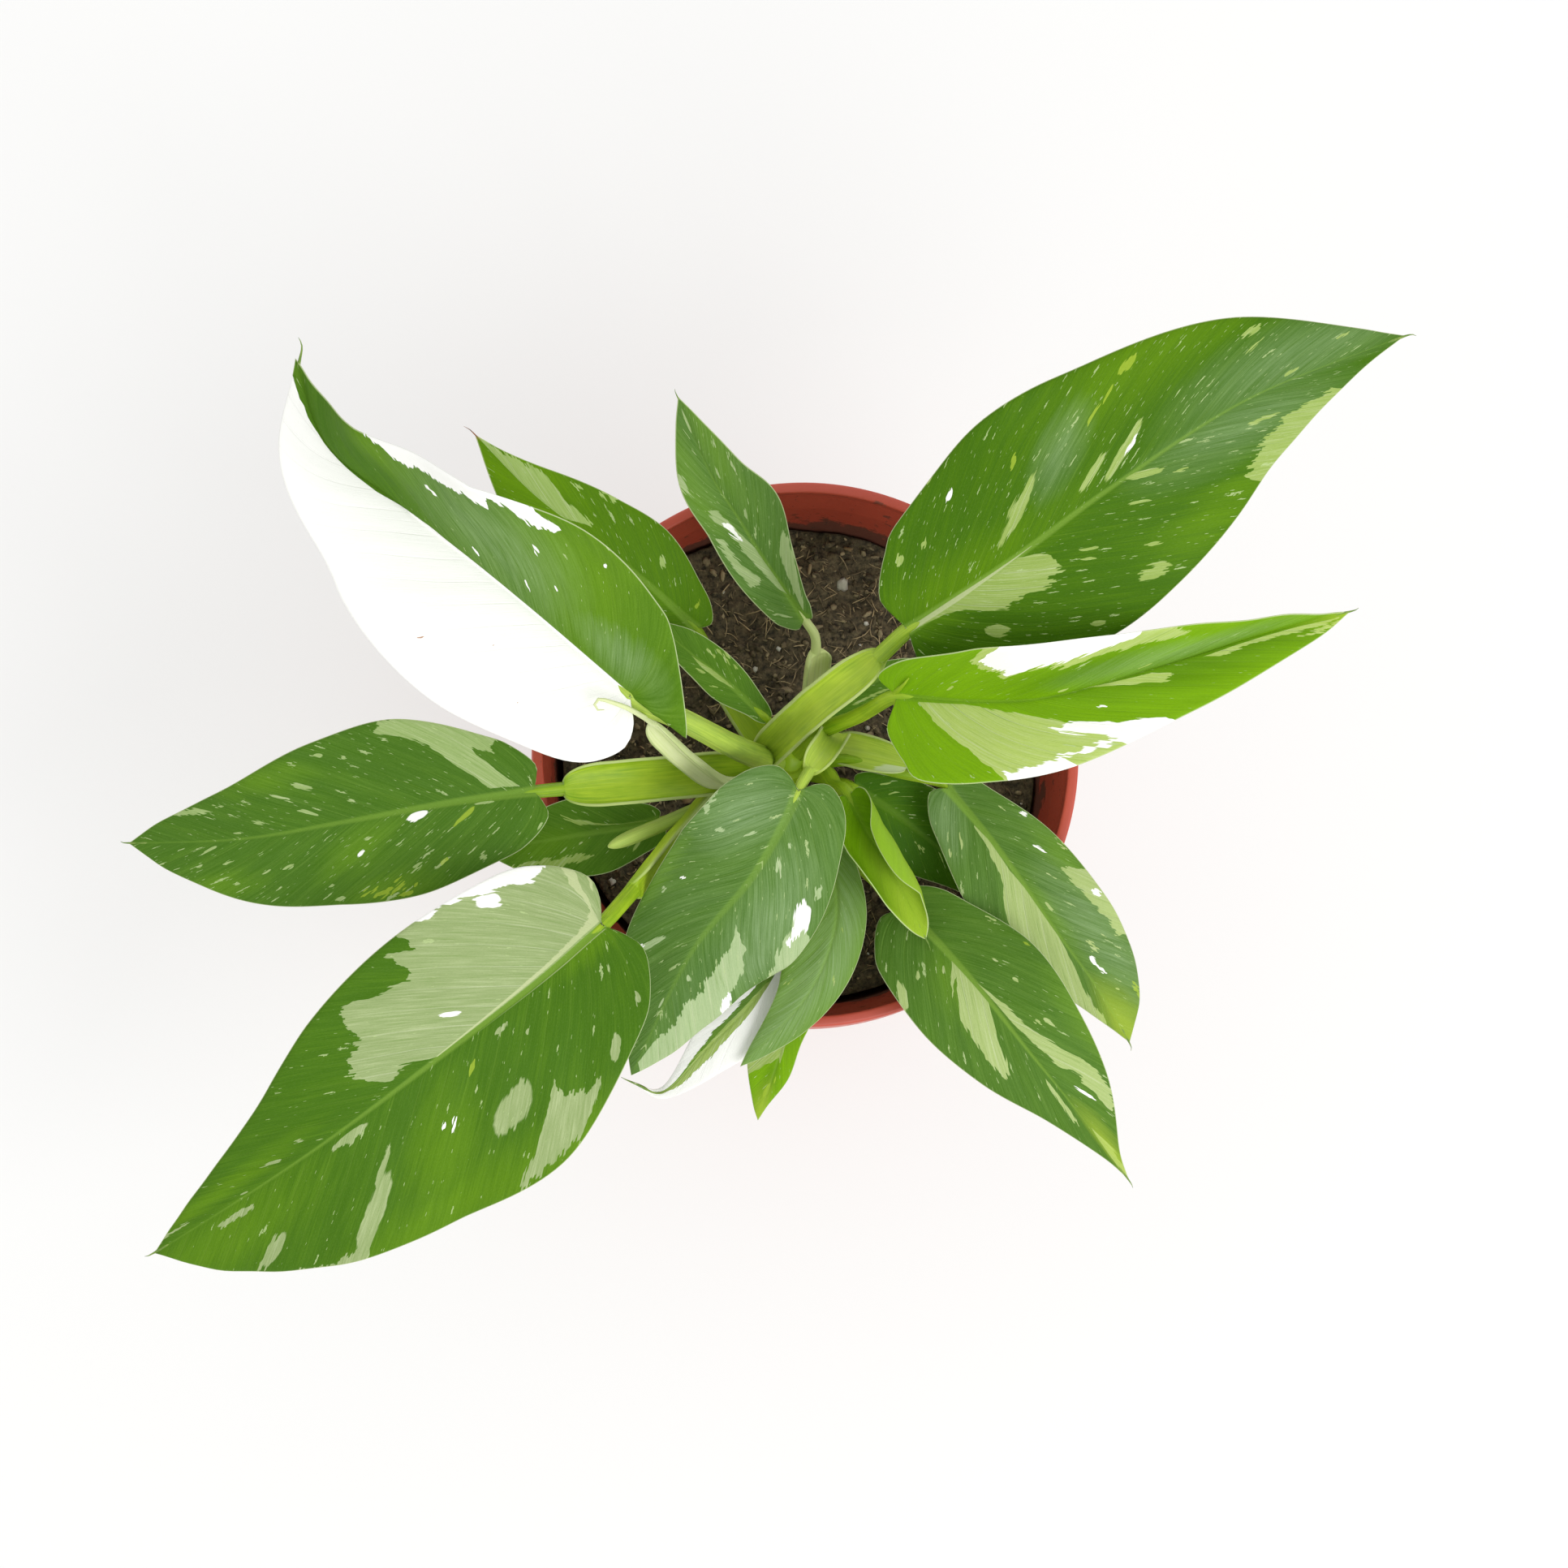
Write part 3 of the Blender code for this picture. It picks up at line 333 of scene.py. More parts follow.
         ("pale", ((71, MARGIN), (88, MARGIN)), ((71, 28.5), (76, 29.8), (82, 29), (88, 26.5))),
         ("cream", ((-2, 1.35), (20, 1.5), (46, 1.1)), ((-2, 1.05), (20, 1.15), (46, 0.95))),
         ("cream", ((-2, -0.8), (10, -0.9), (40, -0.7), (56, -0.4)),
          ((-2, -4.6), (2, -3.2), (10, -2.4), (30, -1.9), (56, -0.9)))),
        (("pale", 37.5, 21.5, 4.6, 4.3, 0.2), ("pale", 11.3, 23.5, 1.3, 2.4, 0.3),
         ("pale", 2.7, 17.5, 0.8, 1.3, 0), ("pale", 70.5, 23.5, 2.9, 7, 0.35),
         ("pale", 69, 14.5, 0.8, 4, 0.3), ("pale", 94.5, 17.7, 2.4, 3.4, 0.7),
         ("pale", 104.5, 3.9, 4.4, 1, 0), ("pale", 77.5, 2.8, 4, 1.2, 0),
         ("pale", 40, 4, 1.8, 0.7, 0.4), ("pale", 33.3, 8.2, 0.7, 0.6, 0),
         ("yellow", 47.5, 7.5, 0.6, 1.4, 0.3), ("white", 51.7, 17, 0.5, 1.4, 0.3),
         ("white", 54.3, 14.5, 0.4, 0.7, 0), ("pale", 114.5, -5.5, 3.4, 0.7, 0),
         ("pale", 90, -6.5, 1.3, 1.4, 0.4), ("pale", 82, -6.8, 0.8, 0.5, 0),
         ("pale", 101.3, -1.6, 0.8, 0.6, 0), ("white", 43, -8, 0.7, 1.8, 0.4),
         ("white", 12, -22, 2, 2.4, 0.3), ("cream", -2.5, -9, 0.9, 7.5, 0),
         ("cream", -5.5, -12, 0.5, 5, 0)),
        (("fresh", 8, 2, 14, 2.6), ("fresh", 30, 36, 30, 6), ("fresh", 54, 21, 7, 12),
         ("fresh", 56, 34, 20, 6),
         ("fresh", 108, 8.2, 18, 8), ("fresh", 100, -9.2, 18, 4)),
        haze=0.02, fresh=0.05, midrib=0.7, pale=(0.30, 0.39, 0.16)),
    "front": Marks(
        0.5, 0.36,
        (("pale", ((35.7, 12), (37.5, 12.5), (38.8, 15.5), (42, 17), (48, 17.4), (50, MARGIN),
                   (76, MARGIN)),
          ((35.7, 5), (37, 7), (40, 8.5), (43, 8.2), (46, 8.6), (52, 8.8), (53, 7.7), (56, 7),
           (58, 5.9), (62, 5.8), (65, 4.9), (68, 3), (72, 1.2), (76, -0.1))),
         ("pale", ((18.5, MARGIN), (37, MARGIN)),
          ((18.5, 18.8), (20, 15.8), (22, 16.7), (25, 18.1), (28, 19.1), (31, 21), (34, 22.5),
           (37, 23.5)))),
        (("white", 19.2, 17.6, 2.4, 2.6, 0.25), ("white", 22.3, 19.2, 2.2, 1.1, 0.2),
         ("pale", 24, 20, 4.5, 1.8, 0.2), ("white", 49, 17.3, 2.5, 1.5, 0.3),
         ("pale", 13.3, 16.7, 1.4, 0.9, 0.3), ("pale", 15, 4.4, 0.7, 0.5, 0.4),
         ("pale", 20.3, 4.2, 0.9, 1.2, 0.7), ("pale", 53.3, 2.9, 0.7, 0.7, 0.3),
         ("pale", 61.5, -1.1, 1.2, 0.4, 0), ("pale", 15.3, -5.6, 0.7, 1, 0.4),
         ("pale", 44.7, -12, 1, 2.3, 0.3), ("white", 45.4, -15, 0.8, 1.3, 0.3),
         ("pale", 14, -13.6, 1, 0.7, 0.4), ("white", 29, -15.3, 0.4, 0.4, 0),
         ("pale", 7, -17.4, 3, 0.7, 0), ("pale", 32, -17.8, 0.6, 0.3, 0)),
        (("sheen", 27, 12.6, 12, 8), ("sheen", 9, -9.9, 9, 8), ("sheen", 36, 16.5, 8, 5),
         ("fresh", 28, -21.4, 10, 2.4), ("deep", 50, 5.8, 14, 4)),
        haze=0.16, fresh=0.1, midrib=0.42, pale=(0.38, 0.50, 0.25)),
    "front_green": Marks(
        0.5, 0.12, (),
        (("pale", 28.7, 7, 0.5, 0.4, 0), ("pale", 22, 2.8, 0.3, 0.4, 0),
         ("pale", 32, -9.5, 0.7, 0.3, 0), ("white", 3.5, -15, 3, 2, 0)),
        (("sheen", 40, -1, 18, 8), ("sheen", 22, 5, 14, 5)),
        haze=0.16, fresh=0.6, midrib=0.35),
    "front_white": Marks(
        0.3, 0.2,
        (("white", ((-6, MARGIN), (60, MARGIN)),
          ((-6, 1.5), (25, 1), (30, 2.2), (40, 4.3), (47, 4), (52, 2.5), (60, 0.5))),
         ("pale", ((22, 1.2), (30, 2.3), (40, 4.4), (47, 4.1), (60, 1.6)),
          ((22, 0.8), (27, -1.5), (34, -2.4), (42, -1.6), (50, -1), (60, -0.6))),
         ("white", ((22, -3.2), (27, -4.2), (34, -4.8), (42, -3.6), (50, -1.8), (56, -1.2)),
          ((22, -MARGIN), (56, -MARGIN)))),
        (("pale", 43, -2.6, 0.8, 1.2, 0.6), ("pale", 41.5, -4, 0.5, 1, 0.5)),
        (("fresh", 46, -1, 9, 5),), haze=0.15, fresh=0.4),
    "front_low": Marks(
        0.4, 0.35,
        (("pale", ((24, 1.5), (29.3, 1.5)), ((24, -MARGIN), (29.3, -MARGIN))),),
        (("yellow", 37, -0.5, 1.6, 1.2, 0), ("yellow", 33, 2, 0.8, 0.5, 0)),
        (("deep", 36, 0, 6, 3), ("yellow", 42, 0, 6, 5)), haze=0.0, fresh=0.85),
    "lower_right": Marks(
        0.5, 0.28,
        (("pale", ((22, -0.7), (34.5, -0.5), (36, -3.3), (37, -6.2), (39, -7.6), (39, -10.1),
                   (41, -12.1)),
          ((22, -1), (24, -2.9), (23.3, -6), (23, -9), (26, -11), (33, -13.2), (38, -13.3),
           (41, -12.6))),
         ("pale", ((30, 0.7), (35, 3.2), (40, 4.9), (42.5, 8), (45, 10.6), (46.5, 13.4), (50, 14.7),
                   (53, 15), (57, 14.4), (59, 12.1)),
          ((30, 0.5), (40, 1.6), (45, 2.9), (50, 4.9), (50.3, 7.7), (52, 9.3), (54, 8.5),
           (55, 10.1), (59, 11.6))),
         ("pale", ((52.5, -2.1), (57, -2.8), (62, -3.9)),
          ((52.5, -3.7), (57, -6), (60, -6.5), (62, -4.9))),
         ("pale", ((68, 1.4), (71, 4.8), (82, 2)), ((68, 0.8), (74, -1.2), (82, -1)))),
        (("white", 56.3, 6.9, 0.8, 2, 0.3), ("pale", 37.8, 11.8, 1, 0.9, 0.3),
         ("pale", 9.6, -16.8, 1.3, 2.6, 0.6), ("pale", 22.2, 8.8, 0.5, 0.5, 0),
         ("pale", 19.8, -4.6, 0.5, 0.8, 0.3), ("pale", 27.3, 10.6, 0.6, 0.5, 0.3),
         ("pale", 9.5, 14.6, 0.8, 0.6, 0.4), ("yellow", 17, 19, 0.6, 0.6, 0),
         ("pale", 32.5, 22.1, 1, 0.3, 0), ("pale", 45.3, 18.4, 0.5, 0.5, 0),
         ("pale", 49, 18.8, 0.5, 0.5, 0), ("pale", 38, 7.8, 0.8, 0.4, 0.4),
         ("pale", 12.5, -10, 0.5, 0.8, 0.4), ("pale", 33, -2.4, 1, 0.6, 0)),
        (("fresh", 22, -5.1, 6, 6), ("fresh", 36, 20.7, 10, 4), ("yellow", 74, 3.3, 10, 5)),
        haze=0.08, fresh=0.1, midrib=0.8, pale=(0.38, 0.49, 0.17)),
    "right": Marks(
        0.45, 0.3,
        (("pale", ((15, -1.1), (20, -0.5), (28, -1.1), (33, -0.3), (40, -0.3), (45, -0.3),
                   (48, -1.3), (50, -3), (52, -5.3), (56, -6.9), (60, -5.8), (60.5, -6.4)),
          ((15, -1.6), (20, -2.5), (24, -4.7), (26, -5.8), (26.5, -8.8), (30, -13), (50, -16.5),
           (53, -13.2), (58, -10.7), (60.5, -7.4))),
         ("pale", ((24.8, MARGIN), (42, MARGIN), (44, 15.6)),
          ((24.8, 14.3), (27, 11.8), (30, 12.5), (33, 13.8), (37, 14.8), (44, 14.8)))),
        (("white", 52.4, 3.9, 1.9, 0.6, 0.9), ("white", 21, 10.4, 0.7, 1, 0.4),
         ("pale", 47.5, 6.1, 1.8, 0.6, 0.3), ("pale", 38.3, 2.6, 1.1, 0.5, 0.7),
         ("white", 10.5, 13.2, 0.9, 0.6, 0.4), ("pale", 9, 9.1, 0.9, 0.3, 0),
         ("pale", 44, 10.4, 0.6, 0.3, 0), ("pale", 28.8, 8.1, 0.5, 0.5, 0.3),
         ("pale", 58.5, 5.3, 0.3, 0.5, 0), ("pale", 10.8, -7, 0.6, 1.3, 0.4),
         ("pale", 8, -11.4, 0.5, 0.8, 0.3), ("white", 31.5, 16.9, 1.2, 0.9, 0),
         ("yellow", 58, 10.3, 2.5, 0.6, 0), ("pale", 18, 17.4, 1.8, 0.5, 0)),
        (("sheen", 43, 10.2, 14, 6), ("sheen", 4, -6.7, 7, 6), ("fresh", 22, 15.4, 9, 4),
         ("fresh", 40, 1.5, 8, 2), ("yellow", 68, -0.5, 9, 9)),
        haze=0.13, fresh=0.15, midrib=0.8, pale=(0.40, 0.51, 0.18)),
    "right_low": Marks(
        0.5, 0.4, (),
        (("pale", 10.5, 4.8, 0.3, 1.2, 0.4), ("pale", 4, 4.8, 0.4, 1, 0.4),
         ("pale", 8.5, 4.2, 0.3, 0.9, 0.4), ("pale", 20.5, -3.4, 1.4, 0.35, 0),
         ("pale", 26.5, -2, 0.4, 1, 0.3)),
        (("fresh", 12, 0, 8, 3), ("deep", 14, 0, 20, 14)), haze=0.0, fresh=0.0, midrib=0.3),
    "centre_left": Marks(
        0.4, 0.45,
        (("pale", ((11.5, 0.2), (14, 1.8), (18, 2.2), (22, 0.9)),
          ((11.5, -0.1), (14, -0.4), (18, -0.4), (22, 0.6))),),
        (("pale", 16.5, 3.4, 1, 0.7, 0.3), ("pale", 11.7, 4, 0.5, 0.5, 0),
         ("pale", 16.7, -4.8, 1.4, 0.5, 0), ("pale", 12, -7, 3, 0.6, 0))),
    "left_low": Marks(
        0.4, 0.3,
        (("pale", ((14, 6.3), (16, 7.5), (20, 8), (26, 7), (31, 6.4)),
          ((14, 6), (17, 5.5), (20, 5), (25, 5.2), (31, 5.5))),
         ("pale", ((3, -0.5), (10, -0.9), (14, -1.5), (18, -2.8), (19.2, -5)),
          ((3, -0.9), (10, -1.2), (14, -2.2), (16.5, -4), (18, -5), (19.2, -6.8)))),
        (("pale", 19, 2.3, 0.4, 0.3, 0), ("pale", 4.5, 5, 0.6, 1.6, 0.3)),
        (("fresh", 27, 2, 7, 5),), haze=0.05),
    "centre_right": Marks(
        0.4, 0.2, (("pale", ((10, -2.2), (16, -3.2)), ((10, -3), (16, -4.6))),)),
    "rolled": Marks(
        0.4, 0.05, (), (), (("yellow", 30, 0, 12, 12),), haze=0.0, fresh=0.85, midrib=0.2),
}
PATCH_SOFTNESS = 0.12
ZONE_SOFTNESS = 1.3

# A curve's steps between its points, and the share of a path that its direction is taken over
CURVE_STEPS = 16
MARGIN_STEPS = 24
DIRECTION_REACH = 0.02

# A lobe's outline beside the stalk, as shares of its length and width, and its shoulder: how
# far ahead as a share of the blade's length, how far back for its lobe, and its share of width
SINUS = (0.8, 0.45)
SHOULDER = (0.05, 2.2, 0.78)

# Where a blade's mesh has its rows round the outline and its columns along each side vein
BLADE_ROWS = 84
BLADE_SHARES = (0.0, 0.02, 0.045, 0.08, 0.13, 0.2, 0.28, 0.37, 0.46, 0.55, 0.64, 0.73, 0.81,
                0.88, 0.935, 0.975, 1.0)


def unit(vectors):
    return vectors / np.linalg.norm(vectors, axis=-1, keepdims=True)


def smooth_through(points, steps):
    """Points of a Catmull-Rom curve through the given ones, with steps in each stretch."""
    points = np.array(points, float)
    ends = np.vstack([2 * points[0] - points[1], points, 2 * points[-1] - points[-2]])
    t = (np.arange(steps) / steps)[:, None]
    curve = []
    for before, start, end, after in zip(ends, ends[1:], ends[2:], ends[3:]):
        curve.append(0.5 * (2 * start + (end - before) * t
                            + (2 * before - 5 * start + 4 * end - after) * t ** 2
                            + (3 * start - before - 3 * end + after) * t ** 3))
    return np.vstack(curve + [points[-1:]])


class Path:
    """A smooth curve that is read by distances along it, and runs on straight past its ends."""

    def __init__(self, points):
        self.points = smooth_through(points, CURVE_STEPS)
        steps = np.linalg.norm(np.diff(self.points, axis=0), axis=1)
        self.distances = np.concatenate([[0.0], np.cumsum(steps)])
        self.length = self.distances[-1]

    def _read(self, distance):
        return np.stack([np.interp(distance, self.distances, axis) for axis in self.points.T], -1)

    def at(self, distance):
        distance = np.asarray(distance, float)
        inside = distance.clip(0, self.length)
        return self._read(inside) + self.direction(inside) * (distance - inside)[..., None]

    def direction(self, distance):
        distance = np.asarray(distance, float)
        reach = DIRECTION_REACH * self.length
        low = (distance - reach).clip(0, self.length - reach)
        high = (distance + reach).clip(reach, self.length)
        return unit(self._read(high) - self._read(low))


def margin(leaf, side, length):
    """One margin from the base, round the lobe, to the tip: vein start, along and across."""
    widths = leaf.left if side > 0 else leaf.right
    lobe = leaf.lobe[0 if side > 0 else 1]
    share = leaf.lobe_share[0 if side > 0 else 1]
    first = widths[0]
    ahead, back, out = SHOULDER
    points = [(0, 0, 0), (0, -SINUS[0] * lobe, SINUS[1] * share * first),
              (0, -lobe, share * first), (0, ahead * length - back * share * lobe, out * first)]
    for start, station, width in zip(VEIN_STARTS, STATIONS, widths):
        points.append((start * length, station * length, width))
    points.append((length, length, 0))
    curve = smooth_through(points, MARGIN_STEPS)
    curve[:, 0] = np.maximum.accumulate(curve[:, 0].clip(0, length))
    return curve


def along_blade(values, share):
    """One of the values that are spread evenly from base to tip, at a share of the midrib."""
    values = np.atleast_1d(values)
    return np.interp(share, np.linspace(0, 1, len(values)), values)


def blade_surface(leaf, spine, side, along, across):
    """Points of the blade's middle surface, from their places in the flattened blade."""
    centre = spine.at(along)
    tangent = spine.direction(along)
    left = unit(np.cross(UP, tangent))
    normal = np.cross(tangent, left)
    share = along / spine.length
    widest = max(leaf.left if side > 0 else leaf.right)
    angle = np.radians(along_blade(leaf.fold[0 if side > 0 else 1], share))
    bend = np.radians(along_blade(leaf.curl[0 if side > 0 else 1], share)) / widest
    outer = angle + bend * across
    sideways = (np.sin(outer) - np.sin(angle)) / bend
    upward = (np.cos(angle) - np.cos(outer)) / bend
    height, waves = leaf.wave
    upward = upward + height * np.sin(2 * np.pi * waves * share + side) * (across / widest) ** 2
    return centre + left * (side * sideways)[..., None] + normal * upward[..., None]


def blade_rows(leaf, spine):
    """Vein starts and both margins, sampled alike at even steps round the outline."""
    curves = {side: margin(leaf, side, spine.length) for side in (1, -1)}
    steps = sum(np.linalg.norm(np.diff(curve[:, 1:], axis=0), axis=1) for curve in curves.values())
    distance = np.concatenate([[0.0], np.cumsum(steps)])
    wanted = np.linspace(0, distance[-1], BLADE_ROWS + 1)
    return {side: np.stack([np.interp(wanted, distance, axis) for axis in curve.T], -1)
            for side, curve in curves.items()}


RIPPLE_WAVES = 7
RIPPLE_SPREAD = (0.7, 1.5)


def ripple(x, y, seed, scale):
    """Smooth seeded noise between about -1 and 1, with waves of about the given length."""
    draw = np.random.default_rng(seed)
    total = np.zeros_like(x)
    for _ in range(RIPPLE_WAVES):
        turn, phase = draw.uniform(0, 2 * np.pi, 2)
        wavelength = scale * draw.uniform(*RIPPLE_SPREAD)
        across = x * math.cos(turn) + y * math.sin(turn)
        total = total + np.sin(2 * np.pi * across / wavelength + phase)
    return 2 * total / (RIPPLE_WAVES + 1)


class Sheet:
    """A blade's middle surface as a grid of side veins by places along them."""

    def __init__(self, leaf):
        self.leaf = leaf
        self.spine = Path(leaf.spine)
        self.rows = blade_rows(leaf, self.spine)
        self.shares = np.array(BLADE_SHARES)
        starts = self.rows[1][:, 0]
        middles = {side: np.stack([(r[:, 0] + r[:, 1]) / 2, r[:, 2] / 2], -1)
                   for side, r in self.rows.items()}
        steps = sum(np.linalg.norm(np.diff(m, axis=0), axis=1) for m in middles.values()) / 2
        self.across = np.concatenate([[0.0], np.cumsum(steps)])
        self.across -= self.across[np.argmax(starts > 0)]
        self.out = {}
        self.rim = {}
        for side, row in self.rows.items():
            vein = np.stack([row[:, 1] - row[:, 0], row[:, 2]], -1)
            length = np.linalg.norm(vein, axis=1)
            edge = np.gradient(row[:, 1:], axis=0)
            crossing = np.abs(vein[:, 0] * edge[:, 1] - vein[:, 1] * edge[:, 0])
            slant = crossing / np.maximum(length * np.linalg.norm(edge, axis=1), 1e-6)
            self.out[side] = side * length[:, None] * self.shares
            self.rim[side] = (length * slant)[:, None] * (1 - self.shares)
        self._number(starts)

    def _number(self, starts):
        """Vertex numbers: one for each vein's start, one at the base, one at the tip."""
        rows, columns = BLADE_ROWS + 1, len(self.shares)
        self.number = {side: np.zeros((rows, columns), int) for side in (1, -1)}
        places = [(0, 1, 0)]
        for row in range(1, rows):
            at_base = starts[row] == 0
            middle = 0 if at_base else len(places)
            if not at_base:
                places.append((row, 1, 0))
            for side in (1, -1):
                self.number[side][row, 0] = middle
                if row == rows - 1:
                    self.number[side][row] = middle
                    continue
                for column in range(1, columns):
                    self.number[side][row, column] = len(places)
                    places.append((row, side, column))
        self.places = np.array(places)

    def read(self, grids):
        """One value for each vertex from grids by side."""
        return np.array([grids[side][row, column] for row, side, column in self.places])

    def points(self):
        row, side, column = self.places.T
        points = np.zeros((len(self.places), 3))
        for one in (1, -1):
            mine = side == one
            start, along, across = self.rows[one][row[mine]].T
            share = self.shares[column[mine]]
            place = start + (along - start) * share
            points[mine] = blade_surface(self.leaf, self.spine, one, place, across * share)
        return points

    def faces(self):
        """Faces of the upper side, with the row and column of each corner."""
        faces = []
        for side in (1, -1):
            number = self.number[side]
            for row in range(BLADE_ROWS):
                for column in range(len(self.shares) - 1):
                    corners = [(row, column), (row, column + 1), (row + 1, column + 1),
                               (row + 1, column)]
                    seen = {}
                    for corner in corners:
                        seen.setdefault(number[corner], corner)
                    if len(seen) < 3:
                        continue
                    face = [(vertex, side, corner) for vertex, corner in seen.items()]
                    faces.append(face if side < 0 else face[::-1])
        return faces


# A blade's shell: how far its upper and under faces stand from its middle surface, the
# half-thickness and width of its thin margin, the rib under its midrib and the groove over it,
# both with how fast they fade to the tip, its swells, and its quilting between side veins
TOP_LIFT = 0.35
UNDER_DROP = 0.1
MARGIN_HALF = 0.07
MARGIN_ROUND = 0.8
RIB_DEPTH = 0.9
RIB_WIDTH = 0.9
RIB_FADE = 0.6
GROOVE_DEPTH = 0.35
GROOVE_WIDTH = 0.7
GROOVE_FADE = 0.7
FLAT_BESIDE_RIB = 5
SWELL = 0.3
SWELL_SPAN = 20
QUILT = 0.09
QUILT_MARGIN = 6
VEIN_GAP = 7.0


def vertex_normals(points, faces):
    corners = np.array([(face[0], face[k], face[k + 1]) for face in faces
                        for k in range(1, len(face) - 1)])
    a, b, c = (points[corners[:, k]] for k in range(3))
    normals = np.zeros_like(points)
    for k in range(3):
        np.add.at(normals, corners[:, k], np.cross(b - a, c - a))
    return unit(normals)


def blade_shell(leaf, slant, seed):
    """A closed thin shell with its relief: points, faces, their corners' UVs and the under side."""
    sheet = Sheet(leaf)
    upper = sheet.faces()
    rings = [[vertex for vertex, _, _ in face] for face in upper]
    points = sheet.points()
    normals = vertex_normals(points, rings)
    out = sheet.read(sheet.out)
    away = np.abs(out)
    rim = sheet.read(sheet.rim)
    across = np.array([sheet.across[row] for row, _, _ in sheet.places])
    share = np.array([sheet.rows[1][row, 0] for row, _, _ in sheet.places]) / sheet.spine.length
    strip = across - away * slant
    growth = 1 - np.exp(-(away / FLAT_BESIDE_RIB) ** 2)
    relief = SWELL * ripple(strip, out, seed, SWELL_SPAN) * growth
    quilting = growth * (rim / QUILT_MARGIN).clip(0, 1)
    relief += QUILT * np.cos(2 * np.pi * strip / VEIN_GAP) * quilting
    full = np.sqrt((rim / MARGIN_ROUND).clip(0, 1))
    fade = (1 - share).clip(0.02, 1)
    groove = GROOVE_DEPTH * np.exp(-(away / GROOVE_WIDTH) ** 2) * fade ** GROOVE_FADE
    rib = RIB_DEPTH * np.exp(-(away / RIB_WIDTH) ** 2) * fade ** RIB_FADE
    lift = relief + MARGIN_HALF + (TOP_LIFT - MARGIN_HALF) * full - groove
    drop = relief - MARGIN_HALF - (UNDER_DROP - MARGIN_HALF) * full - rib
    count = len(points)
    shell = np.vstack([points + normals * lift[:, None], points + normals * drop[:, None]])

    def corner(side, place):
        along = sheet.rows[side][place[0], 0] / sheet.spine.length
        return sheet.across[place[0]], sheet.out[side][place], sheet.rim[side][place], along

    faces = rings + [[vertex + count for vertex in ring[::-1]] for ring in rings]
    values = [[corner(side, place) for _, side, place in face] for face in upper]
    values += [face[::-1] for face in values]
    last = len(sheet.shares) - 1
    for side in (1, -1):
        border = sheet.number[side][:, last]
        for row in range(BLADE_ROWS):
            a, b = border[row], border[row + 1]
            if side > 0:
                a, b = b, a
            faces.append([b, a, a + count, b + count])
            near = corner(side, (row, last)), corner(side, (row + 1, last))
            first, second = near if side < 0 else near[::-1]
            values.append([second, first, first, second])
    under = np.repeat([0.0, 1.0], count)
    return shell, faces, [value for face in values for value in face], under


def mesh_piece(name, points, faces, node, values=None, attributes=None):
    """A piece in metres that rides on the plant and stands for a CAD node."""
    mesh = bpy.data.meshes.new(name)
    mesh.from_pydata((np.asarray(points) * MM).tolist(), [], [list(map(int, f)) for f in faces])
    if values is not None:
        values = np.array(values)
        places = mesh.uv_layers.new(name="Vein")
        places.data.foreach_set("uv", (values[:, :2] * UV_UNIT).astype(np.float32).ravel())
        edges = mesh.uv_layers.new(name="Rim")
        edges.data.foreach_set("uv", (values[:, 2:] * (UV_UNIT, 1)).astype(np.float32).ravel())
    for label, numbers in (attributes or {}).items():
        attribute = mesh.attributes.new(label, "FLOAT", "POINT")
        attribute.data.foreach_set("value", np.asarray(numbers, np.float32))
    mesh.shade_smooth()
    mesh.update()
    piece = bpy.data.objects.new(name, mesh)
    bpy.context.scene.collection.objects.link(piece)
    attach(piece, "root")
    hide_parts(node)
    return piece


def skin(rings):
    """Faces over rings of equal size, numbered one after the other, with flat ends."""
    count, total = len(rings[0]), len(rings)
    faces = []
    for ring in range(total - 1):
        low, high = ring * count, (ring + 1) * count
        for i in range(count):
            j = (i + 1) % count
            faces.append((low + i, low + j, high + j, high + i))
    faces.append(tuple(range(count))[::-1])
    faces.append(tuple(range((total - 1) * count, total * count)))
    return faces


def turned(profile, sides, axis=(0, 0)):
    """Closed mesh of a profile of (radius, height) turned once round an upright axis."""
    vertices = []
    rings = []
    turns = 2 * np.pi * np.arange(sides) / sides
    for radius, height in profile:
        if radius == 0:
            rings.append([len(vertices)] * sides)
            vertices.append((axis[0], axis[1], height))
            continue
        rings.append(list(range(len(vertices), len(vertices) + sides)))
        vertices += [(axis[0] + radius * math.cos(t), axis[1] + radius * math.sin(t), height)
                     for t in turns]
    faces = []
    for low, high in zip(rings, rings[1:]):
        for i in range(sides):
            j = (i + 1) % sides
            corners = list(dict.fromkeys((low[i], low[j], high[j], high[i])))
            if len(corners) > 2:
                faces.append(tuple(corners))
    return np.array(vertices, float), faces


# Sockets of a mix node that mixes colours
MIX_FACTOR = 0
MIX_LOW = 6
MIX_HIGH = 7
MIX_COLOUR = 2


